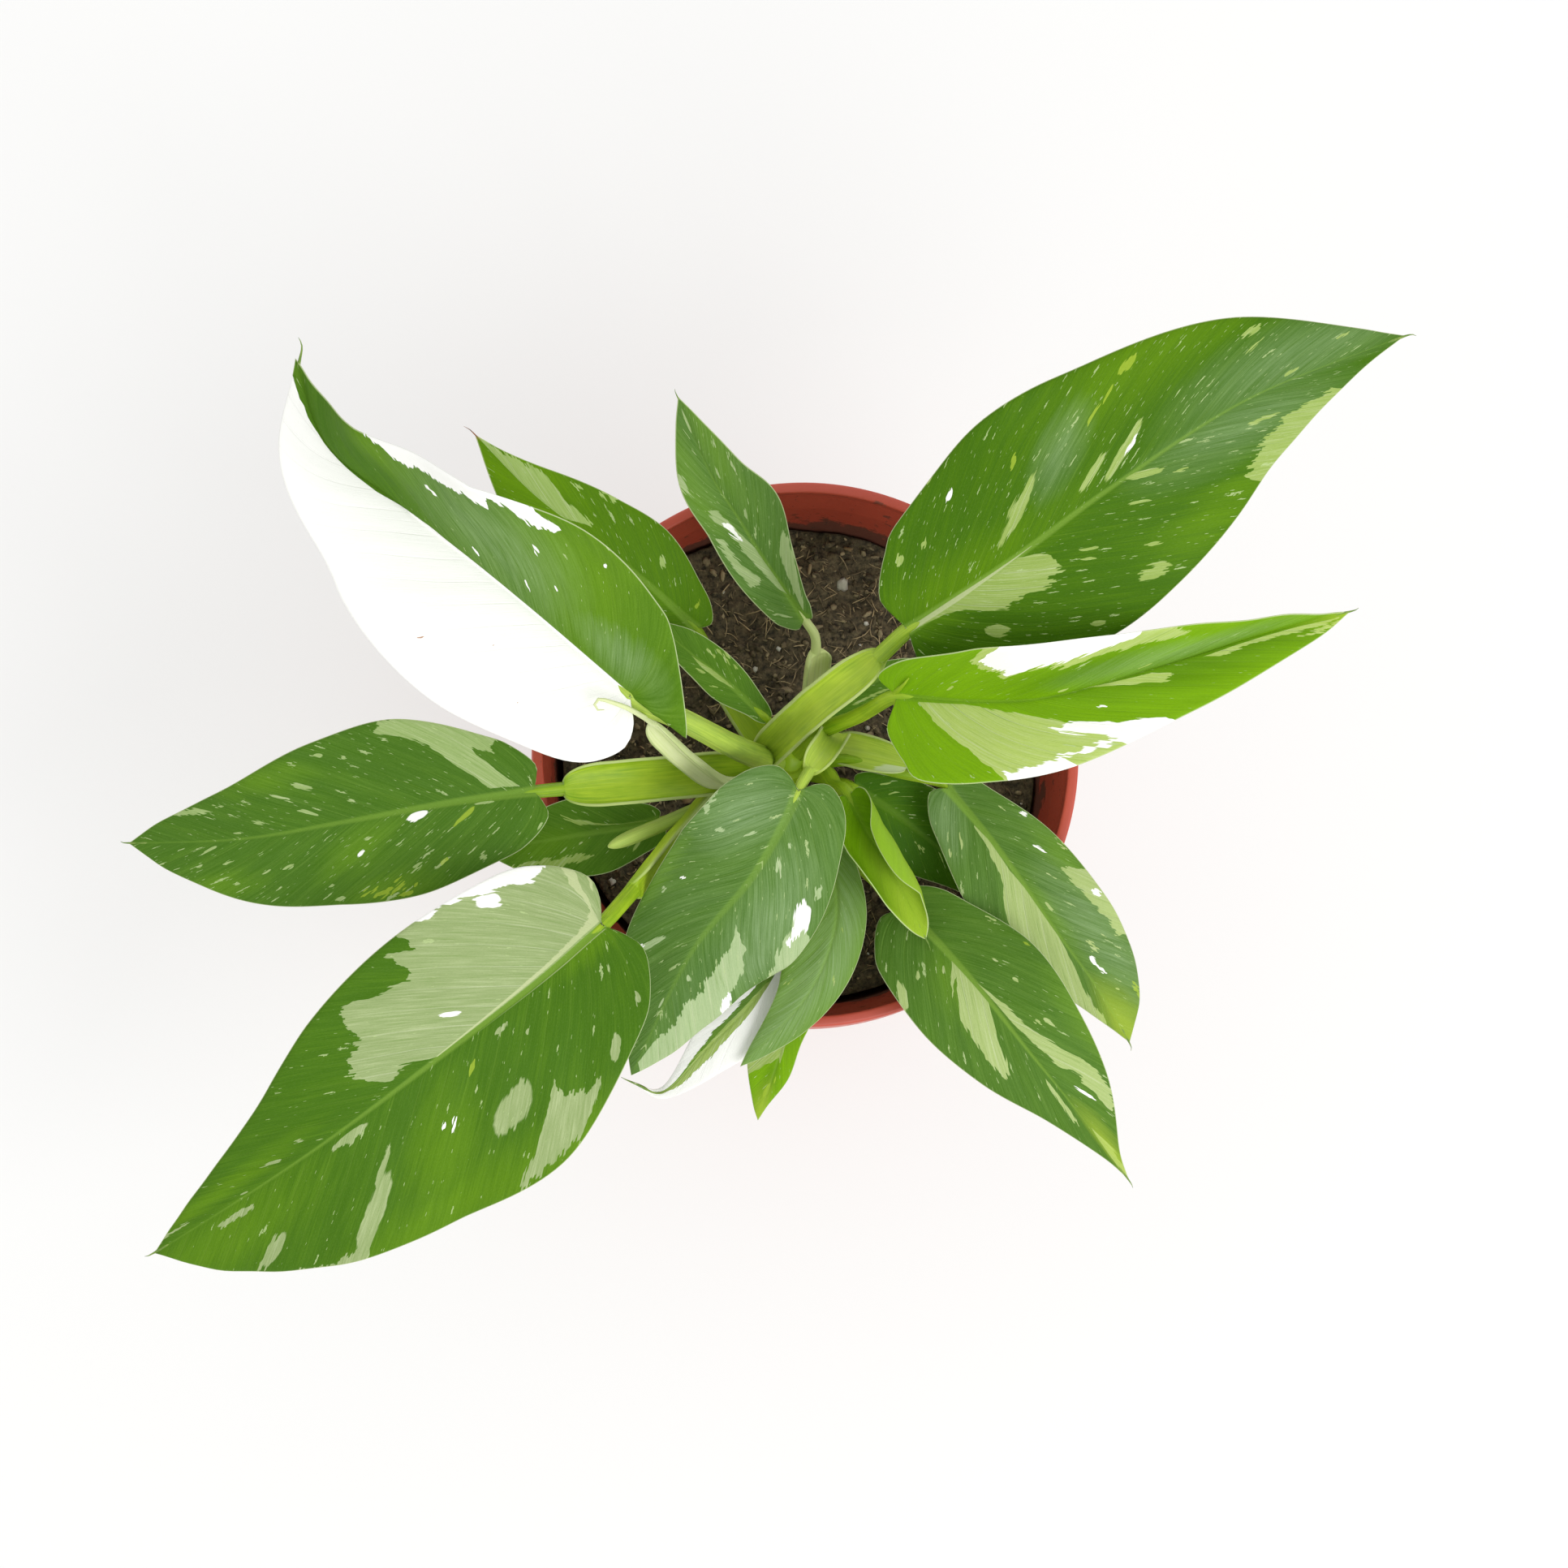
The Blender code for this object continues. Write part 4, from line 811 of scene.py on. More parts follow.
class Term:
    """A value in a node tree that takes part in written-out arithmetic."""

    def __init__(self, tree, socket):
        self.tree = tree
        self.socket = socket

    def math(self, operation, *others, clamp=False):
        made = self.tree.nodes.new("ShaderNodeMath")
        made.operation = operation
        made.use_clamp = clamp
        for socket, value in zip(made.inputs, (self, *others)):
            plug(socket, value)
        return Term(self.tree, made.outputs[0])

    def __add__(self, other):
        return self.math("ADD", other)

    def __sub__(self, other):
        return self.math("SUBTRACT", other)

    def __mul__(self, other):
        return self.math("MULTIPLY", other)

    def __truediv__(self, other):
        return self.math("DIVIDE", other)

    def __pow__(self, other):
        return self.math("POWER", other)

    def __abs__(self):
        return self.math("ABSOLUTE")

    def clamp(self):
        return self.math("ADD", 0.0, clamp=True)

    def flip(self):
        """One minus this."""
        return self * -1 + 1

    def mixed(self, low, high):
        """The colour low where this is 0, and high where it is 1."""
        made = self.tree.nodes.new("ShaderNodeMix")
        made.data_type = "RGBA"
        plug(made.inputs[MIX_FACTOR], self)
        plug(made.inputs[MIX_LOW], low)
        plug(made.inputs[MIX_HIGH], high)
        return Term(self.tree, made.outputs[MIX_COLOUR])


def plug(socket, value):
    """Link a term to a socket, or set the socket's own number or colour."""
    if isinstance(value, Term):
        value.tree.links.new(value.socket, socket)
        return
    if socket.type == "RGBA" and len(value) == 3:
        value = (*value, 1.0)
    socket.default_value = value


def add(tree, kind, inputs=(), output=0, **settings):
    """Add a node with its settings and inputs by name, and return one of its outputs."""
    made = tree.nodes.new(kind)
    for name, value in settings.items():
        setattr(made, name, value)
    for name, value in dict(inputs).items():
        plug(made.inputs[name], value)
    return Term(tree, made.outputs[output])


def vector(tree, x, y, z=0.0):
    return add(tree, "ShaderNodeCombineXYZ", {"X": x, "Y": y, "Z": z})


def split(tree, value):
    """The x and y of a vector."""
    made = tree.nodes.new("ShaderNodeSeparateXYZ")
    plug(made.inputs[0], value)
    return [Term(tree, socket) for socket in made.outputs[:2]]


def object_place(tree):
    return add(tree, "ShaderNodeTexCoord", output="Object")


def reading(tree, name):
    """A number that the mesh holds for each of its points."""
    return add(tree, "ShaderNodeAttribute", output="Fac", attribute_name=name)


def noise(tree, place, scale, detail=2.0, roughness=0.5):
    return add(tree, "ShaderNodeTexNoise", {"Vector": place, "Scale": scale, "Detail": detail,
                                            "Roughness": roughness})


def random_step(tree, value, seed):
    """A random number for each whole number that the value rounds down to."""
    return add(tree, "ShaderNodeTexWhiteNoise", {"W": value.math("FLOOR") + seed},
               noise_dimensions="1D")


# Kinds of the groups' sockets; one that isn't here is a number
SOCKET_KINDS = {"Vein": "Vector", **dict.fromkeys(
    ("Deep", "Fresh", "Pale", "Yellow", "White", "Lime", "Bloom", "Color"), "Color")}


def make_group(name, fill, inputs, outputs):
    """A shader group; fill takes its tree and inputs and returns the values of its outputs."""
    tree = bpy.data.node_groups.new(name, "ShaderNodeTree")
    for direction, labels in (("INPUT", inputs), ("OUTPUT", outputs)):
        for label in labels:
            tree.interface.new_socket(label, in_out=direction, socket_type="NodeSocket"
                                      + SOCKET_KINDS.get(label, "Float"))
    start = tree.nodes.new("NodeGroupInput")
    end = tree.nodes.new("NodeGroupOutput")
    results = fill(tree, *[Term(tree, socket) for socket in start.outputs[:len(inputs)]])
    for socket, value in zip(end.inputs, results):
        plug(socket, value)
    return tree


def use(tree, group, inputs):
    """Add a group with its inputs by name, and return its outputs."""
    made = tree.nodes.new("ShaderNodeGroup")
    made.node_tree = group
    for name, value in inputs.items():
        plug(made.inputs[name], value)
    outputs = [Term(tree, socket) for socket in made.outputs]
    return outputs[0] if len(outputs) == 1 else outputs


# A marking's ragged edge: its coarse and fine steps along the blade with their reach, where
# it starts beside the midrib and over what it grows, and the slow wander of its places
COARSE_JAG = (1.5, 1.5)
FINE_JAG = (0.5, 1.0)
JAG_START = 1.5
JAG_GROWTH = 4
WANDER = 2.2
WANDER_SPAN = 3.5
EDGE_SOFTNESS = 0.2
SECTOR_END_SHARPNESS = 400

# Specks in three sizes: the width and length of the cell that each lies in, the share of the
# cells that have one, and its radius in its cell
SPECK_SIZES = ((0.5, 2.0, 0.20, 0.22), (1.2, 4.4, 0.14, 0.24), (3.2, 8.0, 0.10, 0.20))

# Tints that lie over a leaf's main colours
DEEPEST_GREEN = (0.03, 0.11, 0.003)
GREEN_VEIN = (0.24, 0.40, 0.05)
# The next tint is painted sheen: a whitish veil that stands in for the soft reflection of the light
# on the leaf's skin.
PAINTED_SHEEN_VEIL = (0.32, 0.45, 0.24)
PALE_STREAK = (0.62, 0.70, 0.40)
PALE_FURROW = (0.17, 0.29, 0.06)
PALE_VEIN = (0.60, 0.66, 0.42)
SPECK = (0.46, 0.58, 0.26)
CREAM = (0.54, 0.60, 0.32)
WHITE_VEIN = (0.66, 0.67, 0.52)
MARGIN_LINE = (0.60, 0.68, 0.38)
DARK_GRAIN = (0.02, 0.05, 0.0)
LIGHT_GRAIN = (0.5, 0.6, 0.3)
SCAR = (0.42, 0.16, 0.05)
UNDERSIDE = (0.30, 0.42, 0.22)
YOUNG_UNDERSIDE = (0.36, 0.52, 0.06)
YOUNG_LIFT = 1.28
YELLOW_STRENGTH = 0.6
FRESH_STRENGTH = 0.4
SHEEN_STRENGTH = 0.28
MOTTLE_STRENGTH = 0.45


def fill_blade_place(tree, vein, slant, seed):
    """Where a point lies on its blade, with the ragged distance that markings are cut by."""
    x, y = split(tree, vein)
    across, out = x / UV_UNIT, y / UV_UNIT
    away = abs(out)
    strip = across - away * slant
    jag = (random_step(tree, strip / COARSE_JAG[0], seed) - 0.5) * COARSE_JAG[1]
    jag += (random_step(tree, strip / FINE_JAG[0], seed + 0.37) - 0.5) * FINE_JAG[1]
    wander = noise(tree, vector(tree, across / WANDER_SPAN, out / WANDER_SPAN, seed), 1.0) - 0.5
    ragged = out + jag * ((away - JAG_START) / JAG_GROWTH).clamp()
    return across + wander * WANDER, ragged, strip, out


def fill_patch(_, across, out, at_across, at_out, half_across, half_out, slant, softness):
    """Inside a slanted oval."""
    lean = (abs(out) - at_out.math("ABSOLUTE")) * slant
    x = (across - at_across - lean) / half_across
    y = (out - at_out) / half_out
    radius = (x * x + y * y).math("SQRT")
    return [(radius.flip() / softness + 0.5).clamp()]


def fill_sector(_, out, share, upper, lower):
    """Inside an upper and a lower edge, which are given as shares from margin to margin."""
    top = (upper * (2 * MARGIN) - MARGIN - out) / EDGE_SOFTNESS
    bottom = (out - (lower * (2 * MARGIN) - MARGIN)) / EDGE_SOFTNESS
    sharp = SECTOR_END_SHARPNESS
    ends = (share * sharp).clamp() * (share.flip() * sharp).clamp()
    return [top.clamp() * bottom.clamp() * ends]


def fill_specks(tree, strip, out, amount, seed):
    """Small dashes along the side veins, in three sizes."""
    found = None
    wobble = noise(tree, vector(tree, strip, out, seed), 1.3, 3.0, 0.6) - 0.5
    for width, length, share, size in SPECK_SIZES:
        place = vector(tree, strip / width + seed + wobble, out / length + seed + wobble * 0.4)
        made = tree.nodes.new("ShaderNodeTexVoronoi")
        made.voronoi_dimensions = "2D"
        plug(made.inputs["Vector"], place)
        plug(made.inputs["Scale"], 1.0)
        chance, reach = split(tree, Term(tree, made.outputs["Color"]))
        kept = (amount * share - chance).math("GREATER_THAN", 0.0)
        radius = kept * (reach * 0.7 + 0.3) * size
        dash = ((radius - Term(tree, made.outputs["Distance"])) / 0.05).clamp() * kept
        found = dash if found is None else found.math("MAXIMUM", dash)
    return [found]


def fill_veins(tree, strip, out):
    """Fine streaks along the side veins, the lines of the stronger veins, and their relief."""
    fine = noise(tree, vector(tree, strip * 2.1, out * 0.14), 1.0, 3.0, 0.65)
    broad = noise(tree, vector(tree, strip * 0.7, out * 0.06), 1.0, 2.0, 0.5)
    streak = ((fine - 0.5) * 2.2 + (broad - 0.5) * 1.1 + 0.5).clamp()
    grain = noise(tree, vector(tree, strip * 4.0, out * 2.4), 1.0, 2.0, 0.6)
    place = strip / VEIN_GAP + (noise(tree, vector(tree, strip / 30, out / 30), 1.0) - 0.5) * 0.5
    away = abs(out)
    near = abs(place.math("FRACT") - 0.5) * VEIN_GAP
    line = ((near * -1 + 0.3) / 0.25).clamp() * (away / 2).clamp()
    faint = abs((strip * 2.0 / VEIN_GAP + 0.3).math("FRACT") - 0.5) * VEIN_GAP * 0.5
    line += ((faint * -1 + 0.2) / 0.2).clamp() * 0.3
    line = line * ((away * -1 + 30) / 24).clamp()
    height = streak * 0.5 + grain * 0.4 - line * 0.7
    return streak, grain, line.clamp(), height


def fill_blade_colour(_, deep, fresh, pale, yellow, white, lime, freshness, paleness,
                      yellowness, whiteness, deepness, haze, midrib, line, streak, grain, edge,
                      under, brown, cream, specks, bloom):
    """The tissue's colour, laid up from the green to the under side's bloom."""
    coloured = whiteness.flip()
    green = (freshness + (streak - 0.5) * 0.3).clamp().mixed(deep, fresh)
    green = (deepness * 0.45).mixed(green, DEEPEST_GREEN)
    green = (line * 0.13).mixed(green, GREEN_VEIN)
    # Painted sheen: a whitish veil over the green, streaked along the veins, that stands in for
    # reflected light.
    green = (haze * (streak * 1.1 + 0.4)).clamp().mixed(green, PAINTED_SHEEN_VEIL)
    light = ((streak - 0.45) * 0.6).clamp().mixed(pale, PALE_STREAK)
    light = ((streak * -1 + 0.36) * 1.2).clamp().mixed(light, PALE_FURROW)
    light = (line * 0.4).mixed(light, PALE_VEIN)
    colour = (specks * 0.75).mixed(paleness.mixed(green, light), SPECK)
    colour = yellowness.mixed(colour, yellow)
    colour = (midrib * (whiteness + paleness * 0.7).clamp().flip()).mixed(colour, lime)
    colour = (cream * 0.8).mixed(colour, CREAM)
    colour = whiteness.mixed(colour, (line * 0.04).mixed(white, WHITE_VEIN))
    colour = (edge * coloured * 0.75).mixed(colour, MARGIN_LINE)
    colour = ((grain - 0.5) * coloured * 0.5).clamp().mixed(colour, DARK_GRAIN)
    colour = ((grain * -1 + 0.45) * 0.25).clamp().mixed(colour, LIGHT_GRAIN)
    colour = (brown * 0.8).mixed(colour, SCAR)
    return [(under * 0.35).mixed(colour, bloom)]


def blade_groups():
    """The shader groups that all blades share."""
    mask = ("Mask",)
    return {
        "place": make_group("blade_place", fill_blade_place, ("Vein", "Slant", "Seed"),
                            ("Across", "Ragged Out", "Strip", "Out")),
        "patch": make_group("blade_patch", fill_patch, (
            "Across", "Out", "At Across", "At Out", "Half Across", "Half Out", "Slant",
            "Softness"), mask),
        "sector": make_group("blade_sector", fill_sector, ("Out", "Share", "Upper", "Lower"), mask),
        "specks": make_group("blade_specks", fill_specks, ("Strip", "Out", "Amount", "Seed"), mask),
        "veins": make_group("blade_veins", fill_veins, ("Strip", "Out"),
                            ("Streak", "Grain", "Line", "Height")),
        "colour": make_group("blade_colour", fill_blade_colour, (
            "Deep", "Fresh", "Pale", "Yellow", "White", "Lime", "Freshness", "Paleness",
            "Yellowness", "Whiteness", "Deepness", "Haze", "Midrib", "Line", "Streak", "Grain",
            "Edge", "Under", "Brown", "Cream", "Specks", "Bloom"), ("Color",)),
    }


def new_material(name):
    """A material with its tree and its Principled shader."""
    made = bpy.data.materials.new(name)
    made.use_nodes = True
    return made, made.node_tree, made.node_tree.nodes["Principled BSDF"]


def finish(tree, surface, colour, roughness, height, strength, distance):
    """Give a surface its colour, its roughness and its fine relief as a bump."""
    plug(surface.inputs["Base Color"], colour)
    plug(surface.inputs["Roughness"], roughness)
    plug(surface.inputs["Normal"], add(tree, "ShaderNodeBump", {
        "Height": height, "Strength": strength, "Distance": distance}))


def edge_curve(tree, share, points, start, end):
    """One edge of a sector: its distance out along the veins, by the share of its length."""
    made = tree.nodes.new("ShaderNodeFloatCurve")
    curve = made.mapping.curves[0]
    places = [((s - start) / (end - start), (d + MARGIN) / (2 * MARGIN)) for s, d in points]
    while len(curve.points) < len(places):
        curve.points.new(0.5, 0.5)
    for point, place in zip(curve.points, sorted(places)):
        point.location = place
        point.handle_type = "VECTOR"
    made.mapping.update()
    plug(made.inputs["Value"], share)
    return Term(tree, made.outputs[0])


def blade_masks(tree, groups, marks, across, ragged):
    """The masks of a blade's tones, each the strongest of its sectors, patches and zones."""
    masks = {}

    def keep(tone, mask):
        masks[tone] = masks[tone].math("MAXIMUM", mask) if tone in masks else mask

    for tone, upper, lower in marks.sectors:
        start = min(upper[0][0], lower[0][0])
        end = max(upper[-1][0], lower[-1][0])
        share = (across - start) / (end - start)
        inside = share.clamp()
        keep(tone, use(tree, groups["sector"], {
            "Out": ragged, "Share": share, "Upper": edge_curve(tree, inside, upper, start, end),
            "Lower": edge_curve(tree, inside, lower, start, end)}))
    ovals = [(*patch, PATCH_SOFTNESS) for patch in marks.patches]
    ovals += [(*zone, 0.0, ZONE_SOFTNESS) for zone in marks.zones]
    for tone, s, d, half_across, half_out, slant, softness in ovals:
        keep(tone, use(tree, groups["patch"], {
            "Across": across, "Out": ragged, "At Across": s, "At Out": d,
            "Half Across": half_across, "Half Out": half_out, "Slant": slant,
            "Softness": softness}))
    return masks


def blade_material(leaf, groups, looks, seed):
    """Leaf tissue: greens, pale and white sectors, specks, midrib, side veins and margin."""
    made, tree, surface = new_material(f"leaf_{leaf.name}")
    marks = MARKS[leaf.name]
    vein = add(tree, "ShaderNodeUVMap", uv_map="Vein")
    rim, along = split(tree, add(tree, "ShaderNodeUVMap", uv_map="Rim"))
    across, ragged, strip, out = use(tree, groups["place"], {
        "Vein": vein, "Slant": marks.slant, "Seed": float(seed)})
    masks = blade_masks(tree, groups, marks, across, ragged)
    streak, grain, line, height = use(tree, groups["veins"], {"Strip": strip, "Out": out})
    mottle = noise(tree, vector(tree, strip / 6, out / 24, float(seed)), 1.0, 3.0)
    none = add(tree, "ShaderNodeValue")
    freshness = (mottle - 0.5) * MOTTLE_STRENGTH + marks.fresh
    freshness = (freshness + masks.get("fresh", none) * FRESH_STRENGTH).clamp()
    specks = use(tree, groups["specks"], {
        "Strip": strip, "Out": out, "Amount": marks.specks * looks.speck_amount,
        "Seed": float(seed)})
    away = abs(out)
    half = along.flip() ** 1.2 * 1.1 + 0.12
    midrib = ((away * -1 + half) / 0.7 + 0.5).clamp() * (along * -0.6 + 1) * marks.midrib
    edge = ((rim / UV_UNIT) * -1 + looks.margin_width / MM) / 0.14
    fresh = [value * (YOUNG_LIFT if leaf.young else 1.0) for value in looks.fresh_green]
    colour = use(tree, groups["colour"], {
        "Deep": looks.deep_green, "Fresh": fresh, "Pale": marks.pale,
        "Yellow": looks.yellow, "White": looks.white, "Lime": looks.lime,
        "Freshness": freshness, "Paleness": masks.get("pale", none), "Specks": specks,
        "Whiteness": masks.get("white", none), "Cream": masks.get("cream", none),
        "Yellowness": masks.get("yellow", none) * YELLOW_STRENGTH,
        "Deepness": masks.get("deep", none), "Brown": masks.get("brown", none),
        # The sheen zones and the leaf's haze are painted reflection of the light.
        "Haze": masks.get("sheen", none) * SHEEN_STRENGTH + marks.haze, "Midrib": midrib,
        "Line": line, "Streak": streak, "Grain": grain, "Edge": edge.clamp(),
        "Under": reading(tree, "under"),
        "Bloom": YOUNG_UNDERSIDE if leaf.young else UNDERSIDE})
    surface.inputs["Specular IOR Level"].default_value = 0.06
    finish(tree, surface, colour, (streak - 0.5) * 0.12 + looks.roughness, height, 0.6, 0.00012)
    return made


# Stalks: the leaf that each carries, its path, its radius at both ends, and its sheath:
# where that starts and ends as shares of the path, its half-width, the height of its rims,
# how far it is turned about the stalk and, for one, the share that its rounded end takes
STALKS = (
    Stalk("upper_right", ((-5, -2, 98), (-9.5, -2, 114), (-0.5, 6, 139), (10, 13.5, 155)),
          (2.4, 1.7), (0.14, 0.84, 4.1, 3.2, 0)),
    Stalk("right_bright", ((-4, -2, 100), (-1, 0, 115), (1, 2, 127), (8.5, 4, 143)),
          (2.0, 1.6), None),
    Stalk("upper_left", ((-4, -2, 98), (-12, -3, 124), (-20, -2, 142), (-30, 1, 157)),
          (3.0, 2.2), None),
    Stalk("front", ((-3, -2, 100), (2.5, 0, 112), (4.5, 2, 122), (1, -3.5, 138),
                    (-2.5, -8.5, 144.5)),
          (1.8, 1.2), (0.3, 0.86, 3.2, 2.4, 0)),
    Stalk("left", ((-5, -3, 96), (-16, -5, 110), (-30, -8, 124), (-46, -10.3, 131)),
          (2.3, 1.4), (0.16, 0.88, 4.8, 3.0, 0)),
    Stalk("lower_left", ((-5, -4, 98), (-19, -9, 110), (-29, -20, 122), (-37.5, -31, 132)),
          (2.3, 1.7), (0.15, 0.78, 3.2, 2.6, 40)),
    Stalk("top", ((-4, -1, 95), (0.5, 8, 98), (1.5, 18, 104), (1.5, 24, 112)), (1.6, 0.95),
          (0.3, 0.68, 3.3, 2.0, 0)),
    Stalk("behind_left", ((-5, -1, 94), (-12, 7, 100), (-19, 17, 107)), (1.8, 1.1),
          (0.12, 0.62, 4.0, 2.0, 0)),
    Stalk("centre_left", ((-5, -1, 98), (-7, 3, 111)), (1.3, 0.9), None),
    Stalk("left_low", ((-5, -3, 95), (-15, -8, 100), (-25, -13, 107)), (1.4, 1.0), None),
    Stalk("right", ((-3, -3, 98), (8, -2, 109), (19, -5, 113)), (1.6, 1.0), None),
    Stalk("right_low", ((-3, -3, 94), (3, -5, 100)), (1.3, 0.9), None),
    Stalk("lower_right", ((-3, -4, 96), (4, -14, 102), (12, -26, 109)), (1.5, 1.0), None),
    Stalk("front_green", ((-3, -4, 97), (0, -12, 106)), (1.5, 1.0), None),
    Stalk("front_white", ((-4, -4, 95), (-4, -18, 98)), (1.3, 0.9), None),
    Stalk("front_low", ((-3, -4, 94), (1, -22, 95)), (1.3, 0.9), None),
    Stalk("rolled", ((-3, -3, 98), (3, -5, 112), (5, -9, 119)), (2.3, 1.9), None),
    Stalk("centre_right", ((-3, -1, 95), (0, 3, 100)), (1.1, 0.8), None),
)
BARE_SHEATHS = {
    "left_spear": Stalk(None, ((-5, -3, 96), (-16, -9, 109), (-29, -16, 120), (-44, -23, 128)),
                        (1.5, 1.6), None),
    "right_sheath": Stalk(None, ((-2, -2, 96), (5, 1, 104), (13, -1, 112), (22, -4, 117)),
                          (1.4, 0.5), (0.3, 1.0, 4.0, 1.6, 0, 0.5)),
    "upper_left_sheath": Stalk(None, ((-6, -4, 102), (-18, -8, 119), (-27, -5, 137),
                                      (-35.5, 0, 155), (-39, 1, 164.5), (-42, 2, 168.5),
                                      (-45.5, 3, 170), (-47.3, 3.4, 170.4),
                                      (-48.3, 2.4, 170.3), (-47.6, 1.2, 169.8),
                                      (-46.3, 1.3, 169.4)),
                               (1.4, 0.4), (0.15, 0.72, 2.8, 2.0, 0)),
}
# How pale each stalk is: below 0 it is a dull green, at 1 nearly cream
STALK_TONES = {"upper_left_sheath": 1.2, "top": 0.8, "front": 0.12, "behind_left": -0.4,
               "left_spear": 0.3, "upper_right": 0.05, "left": -0.5, "right": -0.4,
               "rolled": -0.1, "upper_left": 0.15, "right_sheath": 0.1, "lower_right": -0.3,
               "front_green": -0.3}
WHITE_SHEATH = "right_sheath"
STALK_RINGS = 64
STALK_OUTER = 25
STALK_INNER = 17
STALK_TAIL = 13
STALK_UNEVEN = 0.12
STALK_UNEVEN_SPAN = 9
SHEATH_RISE = 0.35
SHEATH_FLOOR = 0.4
SHEATH_WALL = 0.35
SHEATH_ROUNDING = 0.16
POINT_SHARE = 0.12
RIM_LINE = 0.1

# The white patch in a sheath: where it lies along the path and round the outline, and its reach
WHITE_ALONG = (0.9, 0.16)
WHITE_AROUND = (0.66, 0.09)

# How a stalk's end runs on under its blade: distance, and its drop as a share of its radius
TAIL_DROPS = ((-1.5, 0.8), (4, 0.9), (8, 0.6), (STALK_TAIL, 0.1))

# A ragged sliver of sheath that stands up from the petiole of the yellow-green leaf
PETIOLE_FLAP = ((12.2, 5.1, 151), (13.8, 6.4, 158), (15.3, 7.3, 164), (16.4, 8.6, 168))
FLAP_RADII = (0.9, 1.0, 0.85, 0.6, 0.7, 0.45, 0.3, 0.1)

# Drip tips: how each blade's point runs on, as offsets from the end of its midrib, its radius,
# and whether it is brown. Each starts inside the blade and tapers.
TIP_ROOTS = (5, 2.2)
TIP_TAPER = (0.7, 0.9, 1.0, 0.95, 0.85, 0.75, 0.62, 0.5, 0.38, 0.25, 0.1)
TIPS = {
    "upper_left": (((0, 0, 0), (1.3, 1.6, 0.5), (1.2, 3.0, 0.8), (0.6, 4.2, 1.0)), 0.4, False),
    "behind_left": (((0, 0, 0), (-0.8, 0.8, 0.1), (-1.6, 1.3, 0.3), (-2.4, 1.7, 0.5)), 0.24, True),
    "left": (((0, 0, 0), (-1.0, 0.1, -0.2), (-1.8, 0.4, -0.3)), 0.4, False),
    "lower_left": (((0, 0, 0), (-1.1, -0.5, -0.5), (-2.0, -0.7, -0.8)), 0.4, False),
    "upper_right": (((0, 0, 0), (1.3, 0.3, -0.4), (2.5, 0.1, -0.6)), 0.4, False),
    "right_bright": (((0, 0, 0), (1.0, 0.3, -0.3), (1.8, 0.8, -0.4)), 0.4, False),
    "lower_right": (((0, 0, 0), (0.6, -0.9, -0.4), (1.0, -1.8, -0.6)), 0.35, False),
    "right": (((0, 0, 0), (0.4, -0.9, -0.4), (0.4, -1.8, -0.6)), 0.35, False),
    "front_white": (((0, 0, 0), (-1.2, 0.4, 0.2), (-2.4, 1.0, 0.5)), 0.35, False),
    "top": (((0, 0, 0), (-0.5, 0.8, 0.1), (-0.7, 1.6, 0.3)), 0.3, False),
    "rolled": (((0, 0, 0), (0.7, -1.2, -0.3), (1.0, -2.4, -0.8)), 0.35, False),
}


def find_leaf(name):
    return next(leaf for leaf in LEAVES if leaf.name == name)


def stalk_path(stalk):
    """The stalk's path, which runs on beneath the blade's base into its rib."""
    if stalk.name is None:
        return Path(stalk.path), None
    spine = Path(find_leaf(stalk.name).spine)
    tangent = spine.direction(0)
    normal = np.cross(tangent, unit(np.cross(UP, tangent)))
    radius = stalk.radius[1]
    ends = [tuple(spine.at(away) - normal * (radius * below + 0.1))
            for away, below in TAIL_DROPS]
    path = Path(stalk.path + tuple(ends))
    return path, path.length - STALK_TAIL


def stalk_section(radius, opening, half_width, rim):
    """Outline of a stalk: round where opening is 0, a trough with thin rims where it is 1."""
    width = radius + (half_width - radius) * opening
    floor = radius * (1 - SHEATH_FLOOR * opening)
    top = rim * opening
    wall = radius * 0.15 + SHEATH_WALL * opening
    outline = []
    for angle in np.linspace(-90, 90, STALK_OUTER):
        turn = math.radians(angle)
        outline.append((width * math.sin(turn), -radius + (top + radius) * (1 - math.cos(turn)),
                        abs(angle) / 90))
    for angle in np.linspace(90, -90, STALK_INNER):
        turn = math.radians(angle)
        across = (width - wall) * math.sin(turn)
        outline.append((across, floor + (top + 0.05 - floor) * (1 - math.cos(turn)),
                        abs(angle) / 90))
    return outline


def sheath_opening(share, sheath):
    if sheath is None:
        return 0.0
    start, end = sheath[0], sheath[1]
    inside = (share - start) / (end - start)
    if not 0 < inside < 1:
        return 0.0
    widened = math.sin(math.pi / 2 * min(1.0, inside / SHEATH_RISE)) ** 0.8
    return widened * rounded_end(inside, SHEATH_ROUNDING if len(sheath) < 6 else sheath[5])


def rounded_end(share, rounding):
    """Width of a shape with a half-round end at share 1, as a share of its full width."""
    return math.sqrt(1 - max(0.0, (share - 1 + rounding) / rounding) ** 2)


def ring_shares(stalk, end_share):
    """Where the rings lie along the path, closer together at a sheath's rounded end."""
    shares = np.linspace(0, 1, STALK_RINGS)
    if stalk.sheath is None:
        return shares
    start, end = stalk.sheath[:2]
    close = end - (end - start) * SHEATH_ROUNDING * np.linspace(0, 1, 16) ** 2
    return np.unique(np.round(np.concatenate([shares, close * end_share]), 6))


